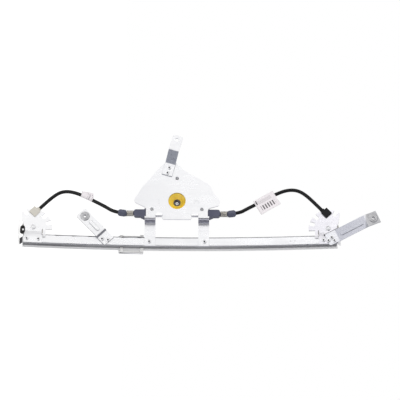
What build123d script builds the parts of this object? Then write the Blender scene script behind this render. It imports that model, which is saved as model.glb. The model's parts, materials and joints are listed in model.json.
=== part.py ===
"""Cable-drum window regulator of a car door, in millimetres.

+Z runs up along the guide rail, the way the window opens and closes. -Y faces the door's inner
panel (inboard) and +Y the glass. +X runs from the cable drum to the guide rail. The origin is the
drum's axis in the inboard face of the motor plate.

Flat parts are drawn in (z, x) on planes that face outboard. Parts on the rail are drawn at the
middle of the rail's arc in (x, depth, t), where depth is measured outboard from the web's inboard
face and t runs up along the rail, and are then turned about the arc's centre to their height.
"""

import math
import os

from build123d import *

# ---------------------------------------------------------------- guide rail
RAIL_RADIUS = 2000.0  # curvature of the door glass, centre inboard
RAIL_MID_Z = 7.0  # height at which the rail runs parallel to Z
RAIL_FACE_Y = 19.5  # inboard face of the web at that height
RAIL_X = 67.2  # centre line of the web
RAIL_WIDTH = 17.0  # over the two walls
RAIL_DEPTH = 13.0  # inboard face of the web to outboard face of the lips
RAIL_LIP = 3.5
RAIL_SHEET = 1.5
RAIL_BEND = 1.0  # inner bend radius
RAIL_BOTTOM_Z = -260.0
RAIL_TOP_Z = 271.4
RAIL_END_SLANT = 5.5  # how far the turned-out end of the web leans
RAIL_END_X0 = 64.0  # its edge beside the pulley
PULLEY_NOTCH_LOW_Z = -207.0  # the drum-side wall is cut away below this
PULLEY_NOTCH_HIGH_Z = 233.0  # and above this
NOTCH_STUB = 2.2  # what is left of the wall beside a pulley
GAUGE_HOLE_R = 1.3
GAUGE_HOLES_Z = (193.0, 200.5)
RIVET_SLACK = 0.06  # under a head and a tail
RIVET_DRILL_R = 1.4
RIVET_DRILL = 2.4
SEAT_GAP = 0.1  # between the curved web and the middle of what is riveted flat on it

# ---------------------------------------------------------------- motor plate
PLATE_SHEET = 2.0
DRUM_OPENING_R = 14.8
MOTOR_HOLE_R = 3.1
MOTOR_HOLE_HALF_SPACING = 42.4  # the two holes on the rail side
MOTOR_HOLE_X = 15.3
MOTOR_TOP_HOLE_X = -40.7
LEG_WIDTH = 18.4
LEG_CENTRE_Z = 45.6
LEG_BEND_X = 33.6  # outer face of the legs' bent part
LEG_FOOT_X = 75.0
LEG_BEND = 2.0
LEG_RIVET_X = 67.6
RELIEF_X = 28.9  # notches in the plate's lower edge beside the legs
RELIEF_Z = 26.0
LOUVER_Z = 30.5
LOUVER_X0 = 21.4
LOUVER_X1 = 27.3
LOUVER_LENGTH = 12.0
LOUVER_RISE = 2.0
LOUVER_SLIT = 1.0
EMBOSS_BAR = (-30.6, 1.2)  # (z, x)
EMBOSS_HORSESHOE = (33.4, 1.4)
EMBOSS_HEIGHT = 0.5

# ---------------------------------------------------------------- cable, drum and pulleys
CABLE_R = 0.75
CABLE_DEPTH = 6.0  # behind the inboard face of the web
DRUM_PITCH_R = 20.4  # axis of the cable in the drum's groove
DRUM_R = 22.0
DRUM_FRONT_Y = 3.2
DRUM_BACK_Y = 15.6
DRUM_GROOVES_Y = (5.4, 7.4, 9.4, 11.4)
GROOVE_HALF = 0.8
LOWER_EXIT_Y = 7.4  # groove that the lower cable leaves from
UPPER_EXIT_Y = 9.4
EXIT_START_Z = 9.0
FUNNEL_MOUTH_R = 14.2
FUNNEL_FLOOR_Y = 10.0
HUB_R = 8.0
INSERT_R = 6.2
INSERT_BORE_R = 3.4
INSERT_FLOOR_Y = 14.0
SPLINE_COUNT = 6
SPLINE_R = 0.4
RUNNING_GAP = 0.06  # radial clearance of a bearing
MOVING_GAP = 0.4  # clearance between parts that pass each other
PULLEY_PITCH_R = 16.5
PULLEY_R = 18.5
PULLEY_WIDTH = 6.0
PULLEY_HUB_R = 7.5
PULLEY_AXLE_R = 4.0
PULLEY_LOW_Z = -244.3
PULLEY_HIGH_Z = 256.8
CABLE_ENTRY_DEG = 48.0  # slope of the cable between an end fitting and its pulley
CABLE_X = 65.1  # the cable on the rail runs a little to the drum's side of its middle
PULLEY_X = CABLE_X - PULLEY_PITCH_R

# ---------------------------------------------------------------- drum housing
HOUSING_INNER_R = 23.0
HOUSING_WALL = 2.4
HOUSING_FLOOR = 2.6
HOUSING_FLOOR_Y = 16.2
ARM_X0 = 9.0
ARM_X1 = 29.4
ARM_Z = 52.0
BLOCK_Z = 73.3
BLOCK_X0 = 14.8
BLOCK_X1 = 26.3
ARM_TOE_Z = 62.5  # reach of the arm's slanted ends
BLOCK_DEPTH = 12.0
BLOCK_ROOT = 12.0  # how far the block runs back along the arm
BOSS_R = 7.0
BOSS_HOLE_R = 3.5
INSERT_THREAD_R = 2.5  # tapping hole of an M6 thread
CABLE_BORE_R = 1.4

# ---------------------------------------------------------------- conduits
CONDUIT_R = 3.0
NECK_R = 3.2
NECK_INSERT = 11.0  # how far the neck reaches into the block
COLLAR_Z = 87.5
COLLAR_LENGTH = 12.5
COLLAR_R = 5.9
COLLAR_TILT_DEG = 8.0
CONDUIT_SEAT = 8.0  # depth of the conduit in the collar and in the end fitting
SPRING_WIRE_R = 0.75
SPRING_MEAN_R = 4.5
SPRING_TURNS = 6
SPRING_SEAT = 1.4  # disc on the ferrule that the spring pushes on
FITTING_SIDE = 13.4
FITTING_FRONT = -7.4  # depth of its inboard face
FITTING_STEP = 2.0  # depth at which it narrows to the nose
FITTING_BACK = 10.4
FITTING_NOSE = 9.0
FITTING_DISTANCE = 22.0  # from the cable's first contact with the pulley to the fitting's centre
FITTING_NECK_R = 4.2
FITTING_NECK = 6.0

# ---------------------------------------------------------------- pulley plates
FAN_SHEET = 2.0
FAN_R = 33.0
FAN_STEP = 3.2  # how far the fan stands inboard of the tab
FAN_OUTER_EDGE = (  # (t, x) from the pulley's axis, t away from the middle of the rail
    (19.7, -24.0), (18.2, -11.4), (15.3, -2.3), (15.0, 8.5))
FAN_BASE_X = 3.2  # from the pulley's axis to the fan's edge beside the rail
FAN_SLOT_WIDTH = 7.0
FAN_SLOT_DEPTH = 10.0
FAN_SLOTS_DEG = (73.0, 45.0, -25.0)  # from -X, positive towards the middle of the rail
FITTING_GROOVE = 1.2
TAB_X1 = 75.0
HOOK_WIDTH = 5.0
HOOK_OFFSET = 19.5
HOOK_SLOT_X = 62.2
HOOK_SLOT = 2.6
NECK_SPAN = {-1: (-15.1, 15.5), 1: (7.5, 15.5)}  # from the pulley's axis towards the rail's middle
UPPER_TAB_LENGTH = 25.0
AXLE_NECK_R = 3.0
TAB_RIVET_X = 68.4
LOWER_TAB_RIVETS_T = (-10.0, 9.4)  # from the pulley's axis
UPPER_TAB_RIVET_T = -8.0

# ---------------------------------------------------------------- brackets
BRACKET_SHEET = 2.0
BRACKET_BEND = 2.0
BRACKET_CORNER_R = 3.0
BRACKET_CLEARANCE = 0.6
NUT_BORE_R = 2.5  # tapping hole of an M6 thread
NUT_FLANGE_R = 8.0
NUT_FLANGE = 1.2
NUT_COLLAR_R = 5.0
NUT_COLLAR = 0.8
NUT_BARREL_R = 5.0
NUT_BARREL = 6.0  # behind the strap's inboard face
LOWER_BRACKET_Z = -124.0
LOWER_BRACKET_START = (9.2, 68.4)  # (t, x) from the bracket's height
LOWER_BRACKET_RUN = (-49.3, -50.4)
LOWER_BRACKET_WIDTH = 20.8
LOWER_NUT_S = 60.0
TOP_BRACKET_START = (-17.7, -46.1)
TOP_BRACKET_RUN = (18.8, -66.1)
TOP_BRACKET_WIDTH = 17.6
TOP_HOLE_S = 62.0
TOP_HOLE_R = 3.2
UPPER_BRACKET_Z = 262.0
UPPER_BRACKET_START = (-6.9, 69.0)
UPPER_BRACKET_RUN = (49.9, -22.1)
UPPER_BRACKET_WIDTH = 22.0
UPPER_NUT_S = 86.0
LOWER_JOGGLE = 2.5
TOP_RISE = 14.0
UPPER_RISE = 6.5  # of the upper bracket's bend above its base
UPPER_RETURN = 5.0  # of its end back towards the panel's side
UPPER_BENDS_S = (18.7, 73.3, 95.2)
LOWER_BRACKET_RIVETS = ((-127.0, 64.4), (-117.0, 66.0))  # (z, x)
UPPER_BRACKET_RIVETS = ((263.0, 64.5), (257.6, 69.8), (267.2, 70.2))
TOP_BRACKET_RIVETS = ((-13.6, -59.4), (-16.6, -50.2))

# ---------------------------------------------------------------- carrier
CARRIER_Z = -77.4
CARRIER_LENGTH = 42.5
SLIDER_BACK = 17.0  # depth of the slider's outboard face
NIPPLE_R = 2.8
GLASS = 5.0
CLAMP_SCREW_R = 3.0
CLAMP_X = 67.2
CLAMP_NUT_HEIGHT = 3.4
NUT_POCKET_R = 6.2
CARRIER_X0 = 52.9
CARRIER_HOOKS = ((-18.6, -13.6), (15.5, 21.2))
CARRIER_RIVETS = ((56.4, -13.0), (56.4, 13.0))
CARRIER_RIVET_R = 1.8
HOOK_WALL = 1.8
HOOK_TIP = 6.0  # depth of the hooks' inboard ends
NIPPLE_POCKET = 9.0
NIPPLE_LENGTH = 7.0
LINER = 1.0
JAW_X0 = 58.8
JAW_X1 = 80.0
JAW_T = 10.0

# ---------------------------------------------------------------- rubber stop
BUMPER_T = -17.4  # from the lower pulley's axis
BUMPER_X = 54.2
BUMPER_SIZE = (8.0, 12.3)
BUMPER_WINDOW = (3.2, 5.4)
BUMPER_TONGUE = (5.2, 7.6)

# ---------------------------------------------------------------- labels
LABEL_THICKNESS = 0.4
LABEL_FROM = (-3.3, 8.5, -144.0)
LABEL_TO = (-12.8, 9.0, -162.6)
LABEL_FLAG = ((-145.2, -4.6), (-142.8, -16.2), (-161.2, -20.1), (-162.4, -13.0))  # (z, x)
LABEL_FLAG_Y = 8.4
TAG_CENTRE = (3.4, 5.6, 153.0)
TAG_TILT_DEG = 26.5
TAG_LENGTH = 36.0
TAG_WIDTH = 31.5
TAG_THICKNESS = 0.4
TAG_CONDUIT_X = -9.9  # the conduit's axis above the middle of the tag
TAG_TIE_T = 3.0 - TAG_LENGTH / 2  # along the tag, from its middle
TAG_TIE_R = 4.6
TAG_TIE_REACH = 3.3

ARC_AXIS = Axis((0, RAIL_FACE_Y - RAIL_RADIUS, RAIL_MID_Z), (1, 0, 0))


# ---------------------------------------------------------------- helpers
def arc_angle(z):
    """Degrees along the rail's arc at which the web's inboard face reaches height z."""
    return math.degrees(math.asin((z - RAIL_MID_Z) / RAIL_RADIUS))


def web_y(z):
    """Y of the web's inboard face at height z."""
    return RAIL_FACE_Y - RAIL_RADIUS * (1 - math.cos(math.radians(arc_angle(z))))


def on_rail(shape, z):
    """Takes a shape drawn in (x, depth, t) to height z on the rail."""
    return (Pos(0, RAIL_FACE_Y, RAIL_MID_Z) * shape).rotate(ARC_AXIS, arc_angle(z))


def facing(y=0.0):
    """Plane whose sketches are drawn in (z, x) and extrude outboard."""
    return Plane(origin=(0, y, 0), x_dir=(0, 0, 1), z_dir=(0, 1, 0))


def sheet(sketch, y, thickness):
    """A flat sheet with its inboard face at y."""
    return extrude(facing(y) * sketch, thickness)


def peg(z, x, y0, y1, radius):
    """A cylinder along Y from y0 to y1."""
    return extrude(facing(y0) * Pos(z, x) * Circle(radius), y1 - y0)


def turned(plane, *profile):
    """Solid of revolution about the plane's normal, from (radius, height) points."""
    face = make_face(Polyline(*[(r, 0, h) for r, h in profile], close=True))
    return plane.location * revolve(face, Axis.Z)


def rounded(points, radii):
    """Polygon with one corner radius for each point."""
    sketch = Polygon(*points, align=None)
    for radius in sorted(set(r for r in radii if r > 0)):
        wanted = [Vector(*p) for p, r in zip(points, radii) if r == radius]
        corners = [v for v in sketch.vertices()
                   if any((Vector(v.X, v.Y, 0) - w).length < 1e-4 for w in wanted)]
        sketch = fillet(corners, radius)
    return sketch


def strip(points, thickness, bend):
    """Section of a bent sheet: the path given is one face and the sheet lies to its left."""
    path = [Vector(*p) for p in points]
    runs = [(b - a).normalized() for a, b in zip(path, path[1:])]
    left = [Vector(-d.Y, d.X) for d in runs]
    far = [path[0] + left[0] * thickness]
    near_r, far_r = [0.0], [0.0]
    for i in range(1, len(path) - 1):
        mitre = (left[i - 1] + left[i]).normalized()
        far.append(path[i] + mitre * (thickness / mitre.dot(left[i])))
        turns_left = runs[i - 1].X * runs[i].Y - runs[i - 1].Y * runs[i].X > 0
        near_r.append(bend + thickness if turns_left else bend)
        far_r.append(bend if turns_left else bend + thickness)
    far.append(path[-1] + left[-1] * thickness)
    near_r.append(0.0)
    far_r.append(0.0)
    outline = [(p.X, p.Y) for p in path] + [(p.X, p.Y) for p in reversed(far)]
    return rounded(outline, near_r + far_r[::-1])


def rivet(grip_front, grip_back, shank_r=2.0, head_r=3.4, head=1.2, tail=1.0):
    """Semi-tubular rivet along Y on the origin: drilled head inboard, upset tail outboard."""
    grip_front -= RIVET_SLACK
    grip_back += RIVET_SLACK
    return turned(
        facing(),
        (0, grip_front - head + RIVET_DRILL), (RIVET_DRILL_R, grip_front - head + RIVET_DRILL - 0.5),
        (RIVET_DRILL_R, grip_front - head), (head_r * 0.6, grip_front - head),
        (head_r, grip_front - head * 0.35),
        (head_r, grip_front), (shank_r, grip_front), (shank_r, grip_back),
        (shank_r * 1.45, grip_back), (shank_r * 1.3, grip_back + tail), (0, grip_back + tail),
    )


def shank(grip_front, grip_back, shank_r=2.0):
    """The hole that a rivet fills."""
    return peg(0, 0, grip_front - 3, grip_back + 3, shank_r)


def rail_rivet(z, x, grip_front):
    """A rivet through the web and what lies on it, and the hole for it."""
    place = Pos(x, 0, 0)
    return (on_rail(place * rivet(grip_front, RAIL_SHEET), z),
            on_rail(place * shank(grip_front, RAIL_SHEET), z))


# ---------------------------------------------------------------- guide rail
def guide_rail():
    x0, x1 = RAIL_X - RAIL_WIDTH / 2, RAIL_X + RAIL_WIDTH / 2
    lip_y = RAIL_DEPTH - RAIL_SHEET
    hat = strip([(x0 - RAIL_LIP, lip_y), (x0, lip_y), (x0, 0), (x1, 0), (x1, lip_y),
                 (x1 + RAIL_LIP, lip_y)], RAIL_SHEET, RAIL_BEND)
    section = Pos(0, RAIL_FACE_Y, RAIL_MID_Z) * hat
    start, end = arc_angle(RAIL_BOTTOM_Z), arc_angle(RAIL_TOP_Z)
    rail = revolve(section.rotate(ARC_AXIS, start), ARC_AXIS, end - start)
    notch_x1 = x0 + RAIL_SHEET + 0.05
    for z0, z1 in ((RAIL_BOTTOM_Z - 20, PULLEY_NOTCH_LOW_Z), (PULLEY_NOTCH_HIGH_Z, RAIL_TOP_Z + 20)):
        middle = (z0 + z1) / 2
        notch = Pos((notch_x1 + x0 - 10) / 2, NOTCH_STUB + 10, 0) * Box(
            notch_x1 - x0 + 10, 20, z1 - z0)
        rail -= on_rail(notch, middle)
    for z, down in ((RAIL_BOTTOM_Z, 1), (RAIL_TOP_Z, -1)):
        lean = math.degrees(math.atan2(RAIL_END_SLANT, RAIL_DEPTH))
        height = math.hypot(RAIL_END_SLANT, RAIL_DEPTH) - RAIL_SHEET / 2
        flange = Pos(RAIL_X, RAIL_SHEET / 3, down * RAIL_SHEET / 2) * Rot(X=-down * lean) * Pos(
            (RAIL_END_X0 - x0 - RAIL_SHEET) / 2, height / 2, 0) * Box(
            x1 - RAIL_SHEET - RAIL_END_X0, height, RAIL_SHEET)
        rail += on_rail(flange, z)
    for side in (-1, 1):
        slot = Pos(HOOK_SLOT_X + HOOK_SLOT / 2, 0, -side * HOOK_OFFSET) * Box(
            HOOK_SLOT, 4 * RAIL_SHEET, HOOK_WIDTH + 0.5)
        rail -= on_rail(slot, pulley_z(side))
    for z in GAUGE_HOLES_Z:
        rail -= on_rail(Pos(RAIL_X + 1.2, 0, 0) * peg(0, 0, -3, 5, GAUGE_HOLE_R), z)
    return rail


# ---------------------------------------------------------------- motor plate
PLATE_OUTLINE = (
    (-52.5, LEG_BEND_X), (-52.5, 12.5), (-70.5, 3.5), (-73.0, -2.0), (-59.5, -24.0), (-30.0, -60.0),
    (-21.5, -69.0), (-2.0, -69.0), (12.0, -55.0), (40.0, -38.5), (54.0, -30.0), (58.0, -25.0),
    (62.0, -14.5), (66.0, -9.5), (73.5, -2.0), (71.0, 8.5), (52.5, 14.0), (52.5, LEG_BEND_X),
)
PLATE_CORNER_R = (0, 6, 3, 3, 12, 12, 8, 8, 14, 20, 4, 4, 3, 3, 3, 4, 6, 0)


def leg_section(z):
    """Section of a leg in (x, y) at height z: out of the plate, outboard and down onto the web."""
    foot_y = web_y(z) - PLATE_SHEET
    return Pos(0, 0, z) * strip(
        [(LEG_BEND_X - 6, 0), (LEG_BEND_X, 0), (LEG_BEND_X, foot_y), (LEG_FOOT_X, foot_y)],
        PLATE_SHEET, LEG_BEND)


def motor_plate():
    leg_in, leg_out = LEG_CENTRE_Z - LEG_WIDTH / 2, LEG_CENTRE_Z + LEG_WIDTH / 2
    blank = rounded(PLATE_OUTLINE, PLATE_CORNER_R)
    for side in (-1, 1):
        relief = [(side * z, x) for z, x in (
            (leg_in, RELIEF_X), (RELIEF_Z, RELIEF_X), (RELIEF_Z - 2.8, LEG_BEND_X + 1), (leg_in, LEG_BEND_X + 1))]
        blank -= Polygon(*relief, align=None)
        bend_x = LEG_BEND_X - LEG_BEND - PLATE_SHEET
        blank -= Pos(side * (leg_in + leg_out) / 2, bend_x + 5) * Rectangle(LEG_WIDTH, 10)
    plate = sheet(blank, 0, PLATE_SHEET)
    plate -= peg(0, 0, -1, 5, DRUM_OPENING_R)
    for z, x in motor_holes():
        plate -= peg(z, x, -1, 5, MOTOR_HOLE_R)
    for side in (-1, 1):
        low, high = sorted((side * leg_in, side * leg_out))
        plate += loft([leg_section(low), leg_section(high)], ruled=True)
        plate += louver(side * LOUVER_Z)
        plate -= sheet(Pos(side * LOUVER_Z, LOUVER_X1 + LOUVER_SLIT / 2) * Rectangle(
            LOUVER_LENGTH - 0.8, LOUVER_SLIT), -5, 10)
    bar = Pos(*EMBOSS_BAR) * Rot(0, 0, 90) * SlotOverall(8.0, 2.0)
    horseshoe = RectangleRounded(10.6, 7.0, 3.2) - RectangleRounded(6.6, 3.0, 1.2)
    horseshoe -= Pos(0, 4) * Rectangle(6.6, 8)
    for emboss in (bar, Pos(*EMBOSS_HORSESHOE) * horseshoe):
        plate += sheet(emboss, -EMBOSS_HEIGHT, 1)
    return plate


def louver(z):
    """Lip pressed inboard out of the plate, open along its lower edge."""
    half = LOUVER_LENGTH / 2
    outline = rounded([(-half, LOUVER_X1), (-half, LOUVER_X0), (half, LOUVER_X0), (half, LOUVER_X1)],
                      (0, 2.8, 2.8, 0))
    wedge = extrude(Polygon((LOUVER_X0, 0.5), (LOUVER_X0, 0), (LOUVER_X1 - 1.5, -LOUVER_RISE),
                            (LOUVER_X1, -LOUVER_RISE), (LOUVER_X1, 0.5), align=None), LOUVER_LENGTH)
    return Pos(0, 0, z) * (Pos(0, 0, -half) * wedge & sheet(outline, -LOUVER_RISE - 1, LOUVER_RISE + 2))


def motor_holes():
    return ((-MOTOR_HOLE_HALF_SPACING, MOTOR_HOLE_X), (MOTOR_HOLE_HALF_SPACING, MOTOR_HOLE_X),
            (0, MOTOR_TOP_HOLE_X))


# ---------------------------------------------------------------- drum, its housing and insert
def cable_drum():
    groove_floor = DRUM_PITCH_R - CABLE_R
    rim = [(DRUM_R, DRUM_FRONT_Y)]
    for y in DRUM_GROOVES_Y:
        rim += [(DRUM_R, y - GROOVE_HALF - 0.1), (groove_floor, y - GROOVE_HALF),
                (groove_floor, y + GROOVE_HALF), (DRUM_R, y + GROOVE_HALF + 0.1)]
    drum = turned(
        facing(), (FUNNEL_MOUTH_R, DRUM_FRONT_Y), *rim, (DRUM_R, DRUM_BACK_Y),
        (HUB_R, DRUM_BACK_Y), (HUB_R, HOUSING_FLOOR_Y + HOUSING_FLOOR + 0.6),
        (0, HOUSING_FLOOR_Y + HOUSING_FLOOR + 0.6), (0, INSERT_FLOOR_Y), (INSERT_R, INSERT_FLOOR_Y),
        (INSERT_R, FUNNEL_FLOOR_Y), (INSERT_R + 1.0, FUNNEL_FLOOR_Y))
    return drum


def spline_insert():
    ring = peg(0, 0, FUNNEL_FLOOR_Y, INSERT_FLOOR_Y, INSERT_R) - peg(
        0, 0, FUNNEL_FLOOR_Y - 1, INSERT_FLOOR_Y + 1, INSERT_BORE_R)
    for i in range(SPLINE_COUNT):
        tooth = Rot(0, 360 / SPLINE_COUNT * i, 0) * peg(
            0, INSERT_BORE_R, FUNNEL_FLOOR_Y - 1, INSERT_FLOOR_Y + 1, SPLINE_R)
        ring -= tooth
    return ring


def drum_cable():
    """Turns of cable in the drum's grooves."""
    section = [(DRUM_PITCH_R + CABLE_R * math.cos(math.radians(a)), CABLE_R * math.sin(math.radians(a)))
               for a in range(0, 360, 45)]
    return Part() + [turned(facing(y), *section) for y in DRUM_GROOVES_Y]


def motor_inserts():
    """Threaded sleeves in the housing's bosses, behind the plate's holes."""
    front, back = PLATE_SHEET + 0.1, PLATE_SHEET + BLOCK_DEPTH - 1
    return Part() + [turned(Plane(origin=(x, 0, z), x_dir=(0, 0, 1), z_dir=(0, 1, 0)),
                            (INSERT_THREAD_R, front + 0.4), (INSERT_THREAD_R + 0.4, front),
                            (BOSS_HOLE_R, front), (BOSS_HOLE_R, back), (INSERT_THREAD_R, back))
                     for z, x in motor_holes()]


def drum_housing():
    outer = HOUSING_INNER_R + HOUSING_WALL
    back = HOUSING_FLOOR_Y + HOUSING_FLOOR
    body = peg(0, 0, PLATE_SHEET, back, outer)
    half_arm = [(ARM_Z, ARM_X0), (ARM_TOE_Z, BLOCK_X1), (ARM_TOE_Z - 6, ARM_X1)]
    arm = rounded(half_arm + [(-z, x) for z, x in reversed(half_arm)], (5, 1, 1, 1, 1, 5))
    body += sheet(arm, PLATE_SHEET, BLOCK_DEPTH)
    for side in (-1, 1):
        block = Pos(side * (ARM_Z - BLOCK_ROOT + BLOCK_Z) / 2, (BLOCK_X0 + BLOCK_X1) / 2) * RectangleRounded(
            BLOCK_Z - ARM_Z + BLOCK_ROOT, BLOCK_X1 - BLOCK_X0, 4.0)
        solid_block = sheet(block, PLATE_SHEET, BLOCK_DEPTH)
        body += solid_block
    spoke = Pos(0, (MOTOR_TOP_HOLE_X - outer) / 2) * Rectangle(
        2 * BOSS_R, abs(MOTOR_TOP_HOLE_X) - outer + 6)
    body += sheet(spoke, PLATE_SHEET, BLOCK_DEPTH)
    for z, x in motor_holes():
        body += peg(z, x, PLATE_SHEET, PLATE_SHEET + BLOCK_DEPTH + 2, BOSS_R)
    body -= peg(0, 0, PLATE_SHEET - 1, HOUSING_FLOOR_Y, HOUSING_INNER_R)
    body -= peg(0, 0, PLATE_SHEET, back + 5, HUB_R + RUNNING_GAP)
    for z, x in motor_holes():
        body -= peg(z, x, 0, PLATE_SHEET + BLOCK_DEPTH - 1, BOSS_HOLE_R)
    for side, y in ((-1, LOWER_EXIT_Y), (1, UPPER_EXIT_Y)):
        ahead = Plane(origin=(DRUM_PITCH_R, y, 0), z_dir=(0, 0, side))
        body -= ahead.location * Cylinder(CABLE_BORE_R, BLOCK_Z + 5, align=(
            Align.CENTER, Align.CENTER, Align.MIN))
        body -= ahead.location * Pos(0, 0, BLOCK_Z - NECK_INSERT) * Cylinder(
            NECK_R, NECK_INSERT + 5, align=(Align.CENTER, Align.CENTER, Align.MIN))
    return body


# ---------------------------------------------------------------- conduits and cables
def pulley_frame(z):
    """Plane of the cable round a pulley: local x along the rail, local y along X, normal outboard."""
    angle = math.radians(arc_angle(z))
    normal = Vector(0, math.cos(angle), math.sin(angle))
    along = Vector(0, -math.sin(angle), math.cos(angle))
    centre = Vector(0, RAIL_FACE_Y - RAIL_RADIUS, RAIL_MID_Z) + normal * (RAIL_RADIUS + CABLE_DEPTH)
    return Plane(origin=centre + Vector(PULLEY_X, 0, 0), x_dir=along, z_dir=normal)


def entry_line(side):
    """First contact of the cable with a pulley and its direction there, in the pulley's plane.

    side is -1 for the lower pulley and 1 for the upper one.
    """
    slope = math.radians(CABLE_ENTRY_DEG)
    direction = Vector(side * math.cos(slope), math.sin(slope))
    contact = Vector(side * math.sin(slope), -math.cos(slope)) * PULLEY_PITCH_R
    return contact, direction


def pulley_z(side):
    return PULLEY_LOW_Z if side < 0 else PULLEY_HIGH_Z


def entry_point(side, distance):
    """Point of the cable at a distance before the pulley, in the part's frame."""
    contact, direction = entry_line(side)
    point = contact - direction * distance
    return pulley_frame(pulley_z(side)).from_local_coords(Vector(point.X, point.Y, 0))


def exit_y(side):
    return LOWER_EXIT_Y if side < 0 else UPPER_EXIT_Y


def collar_plane(side):
    """Where the collar starts, with its normal along the collar, tilted towards -X."""
    tilt = math.radians(COLLAR_TILT_DEG)
    return Plane(origin=(DRUM_PITCH_R, exit_y(side), side * COLLAR_Z), x_dir=(0, 1, 0),
                 z_dir=(-math.sin(tilt), 0, side * math.cos(tilt)))


def seat_point(side, height):
    """Point on the collar's axis."""
    plane = collar_plane(side)
    return plane.origin + plane.z_dir * height


STRAIGHT_RUN = 7.5  # of the conduit outside each seat
CONDUIT_START = COLLAR_LENGTH - CONDUIT_SEAT
FITTING_END = FITTING_DISTANCE + FITTING_SIDE / 2 + FITTING_NECK
CONDUIT_END = FITTING_END - CONDUIT_SEAT
CONDUIT_MIDDLE = {  # (x, y, z), chosen by hand between the collar and the fitting
    -1: ((8.6, 7.9, -121.5), (-0.6, 8.4, -138.5), (-9.6, 8.9, -156.0), (-17.2, 9.4, -173.5),
         (-20.0, 9.9, -190.0), (-15.5, 10.3, -205.0)),
    1: ((11.3, 9.3, 118.0), (2.3, 9.2, 134.8), (-7.4, 9.1, 152.0), (-16.6, 9.0, 169.5),
        (-23.4, 9.1, 186.5), (-24.0, 9.4, 203.5), (-16.0, 9.8, 219.0)),
}


def conduit_route(side):
    fixed = seat_point(side, CONDUIT_START), seat_point(side, COLLAR_LENGTH + STRAIGHT_RUN)
    ending = entry_point(side, FITTING_END + STRAIGHT_RUN), entry_point(side, CONDUIT_END)
    return [fixed[0], fixed[1], *[Vector(*p) for p in CONDUIT_MIDDLE[side]], ending[0], ending[1]]


def arc_radii(route):
    """The largest arc at each point that its two runs allow."""
    radii = []
    for a, b, c in zip(route, route[1:], route[2:]):
        turn = math.radians((b - a).get_angle(c - b))
        radii.append(0.45 * min((b - a).length, (c - b).length) / math.tan(turn / 2))
    return radii


def tube(path, radius):
    return sweep(Plane(origin=path @ 0, z_dir=path % 0) * Circle(radius), path=path)


def conduit(side):
    route = conduit_route(side)
    radii = arc_radii(route)
    path = FilletPolyline(*route, radius=radii)
    solid = tube(path, CONDUIT_R)
    name = "lower" if side < 0 else "upper"
    print(name, "conduit radii", [round(r) for r in radii], "length", round(path.length, 1),
          "volume ratio", round(solid.volume / (path.length * math.pi * CONDUIT_R**2), 4))
    return solid


def drum_run_path(side):
    """Axis of the cable from the drum to the start of its conduit."""
    start = Vector(DRUM_PITCH_R, exit_y(side), side * EXIT_START_Z)
    bend = seat_point(side, 0)
    return FilletPolyline(start, bend, seat_point(side, CONDUIT_START), radius=[25.0])


def cable(side):
    solid = tube(drum_run_path(side), CABLE_R)
    contact, direction = entry_line(side)
    start = contact - direction * CONDUIT_END
    wrap_start = math.degrees(math.atan2(contact.Y, contact.X))
    if side < 0:
        wrap_start += 360
    wrap = CenterArc((0, 0), PULLEY_PITCH_R, wrap_start, 90 - wrap_start)
    flat = Wire([Line((start.X, start.Y), (contact.X, contact.Y)).edge(), wrap.edge()])
    path = pulley_frame(pulley_z(side)).location * flat
    around = tube(path, CABLE_R)
    section = Pos(CABLE_X, RAIL_FACE_Y + CABLE_DEPTH, RAIL_MID_Z) * Circle(CABLE_R)
    low, high = sorted((arc_angle(pulley_z(side)), arc_angle(CARRIER_Z)))
    along = revolve(section.rotate(ARC_AXIS, low), ARC_AXIS, high - low)
    return Part() + [solid, around + along]


def ferrule(side):
    """Neck in the housing's block and collar round the conduit's end."""
    neck_length = COLLAR_Z - BLOCK_Z + NECK_INSERT
    neck = Plane(origin=(DRUM_PITCH_R, exit_y(side), side * (BLOCK_Z - NECK_INSERT)),
                 z_dir=(0, 0, side))
    body = neck.location * Cylinder(NECK_R, neck_length + 1, align=(
        Align.CENTER, Align.CENTER, Align.MIN))
    seat_start = COLLAR_Z - BLOCK_Z + NECK_INSERT - SPRING_SEAT
    body += neck.location * Pos(0, 0, seat_start) * Cylinder(
        COLLAR_R - 0.6, SPRING_SEAT + 0.3, align=(Align.CENTER, Align.CENTER, Align.MIN))
    body += turned(collar_plane(side), (0, 0), (COLLAR_R - 1.0, 0), (COLLAR_R, 1.2),
                   (COLLAR_R, COLLAR_LENGTH - 2.5), (COLLAR_R - 1.8, COLLAR_LENGTH), (0, COLLAR_LENGTH))
    body -= tube(drum_run_path(side), CABLE_BORE_R)
    body -= collar_plane(side).location * Pos(0, 0, CONDUIT_START) * Cylinder(
        CONDUIT_R, COLLAR_LENGTH, align=(Align.CENTER, Align.CENTER, Align.MIN))
    return body


def tension_spring(side):
    """Coil spring between the housing's block and the collar."""
    length = COLLAR_Z - SPRING_SEAT - BLOCK_Z - 2 * SPRING_WIRE_R
    base = Plane(origin=(DRUM_PITCH_R, exit_y(side), side * (BLOCK_Z + SPRING_WIRE_R)),
                 z_dir=(0, 0, side))
    path = base.location * Helix(length / SPRING_TURNS, length, SPRING_MEAN_R)
    wire = Plane(origin=path @ 0, z_dir=path % 0) * Circle(SPRING_WIRE_R)
    return sweep(wire, path=path, is_frenet=True)


def fitting_plane(side):
    """Origin on the cable's axis at the fitting's centre, local x along the cable, normal outboard."""
    frame = pulley_frame(pulley_z(side))
    contact, direction = entry_line(side)
    centre = contact - direction * FITTING_DISTANCE
    along = frame.x_dir * direction.X + Vector(1, 0, 0) * direction.Y
    return Plane(origin=frame.from_local_coords(Vector(centre.X, centre.Y, 0)),
                 x_dir=along, z_dir=frame.z_dir)


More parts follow.
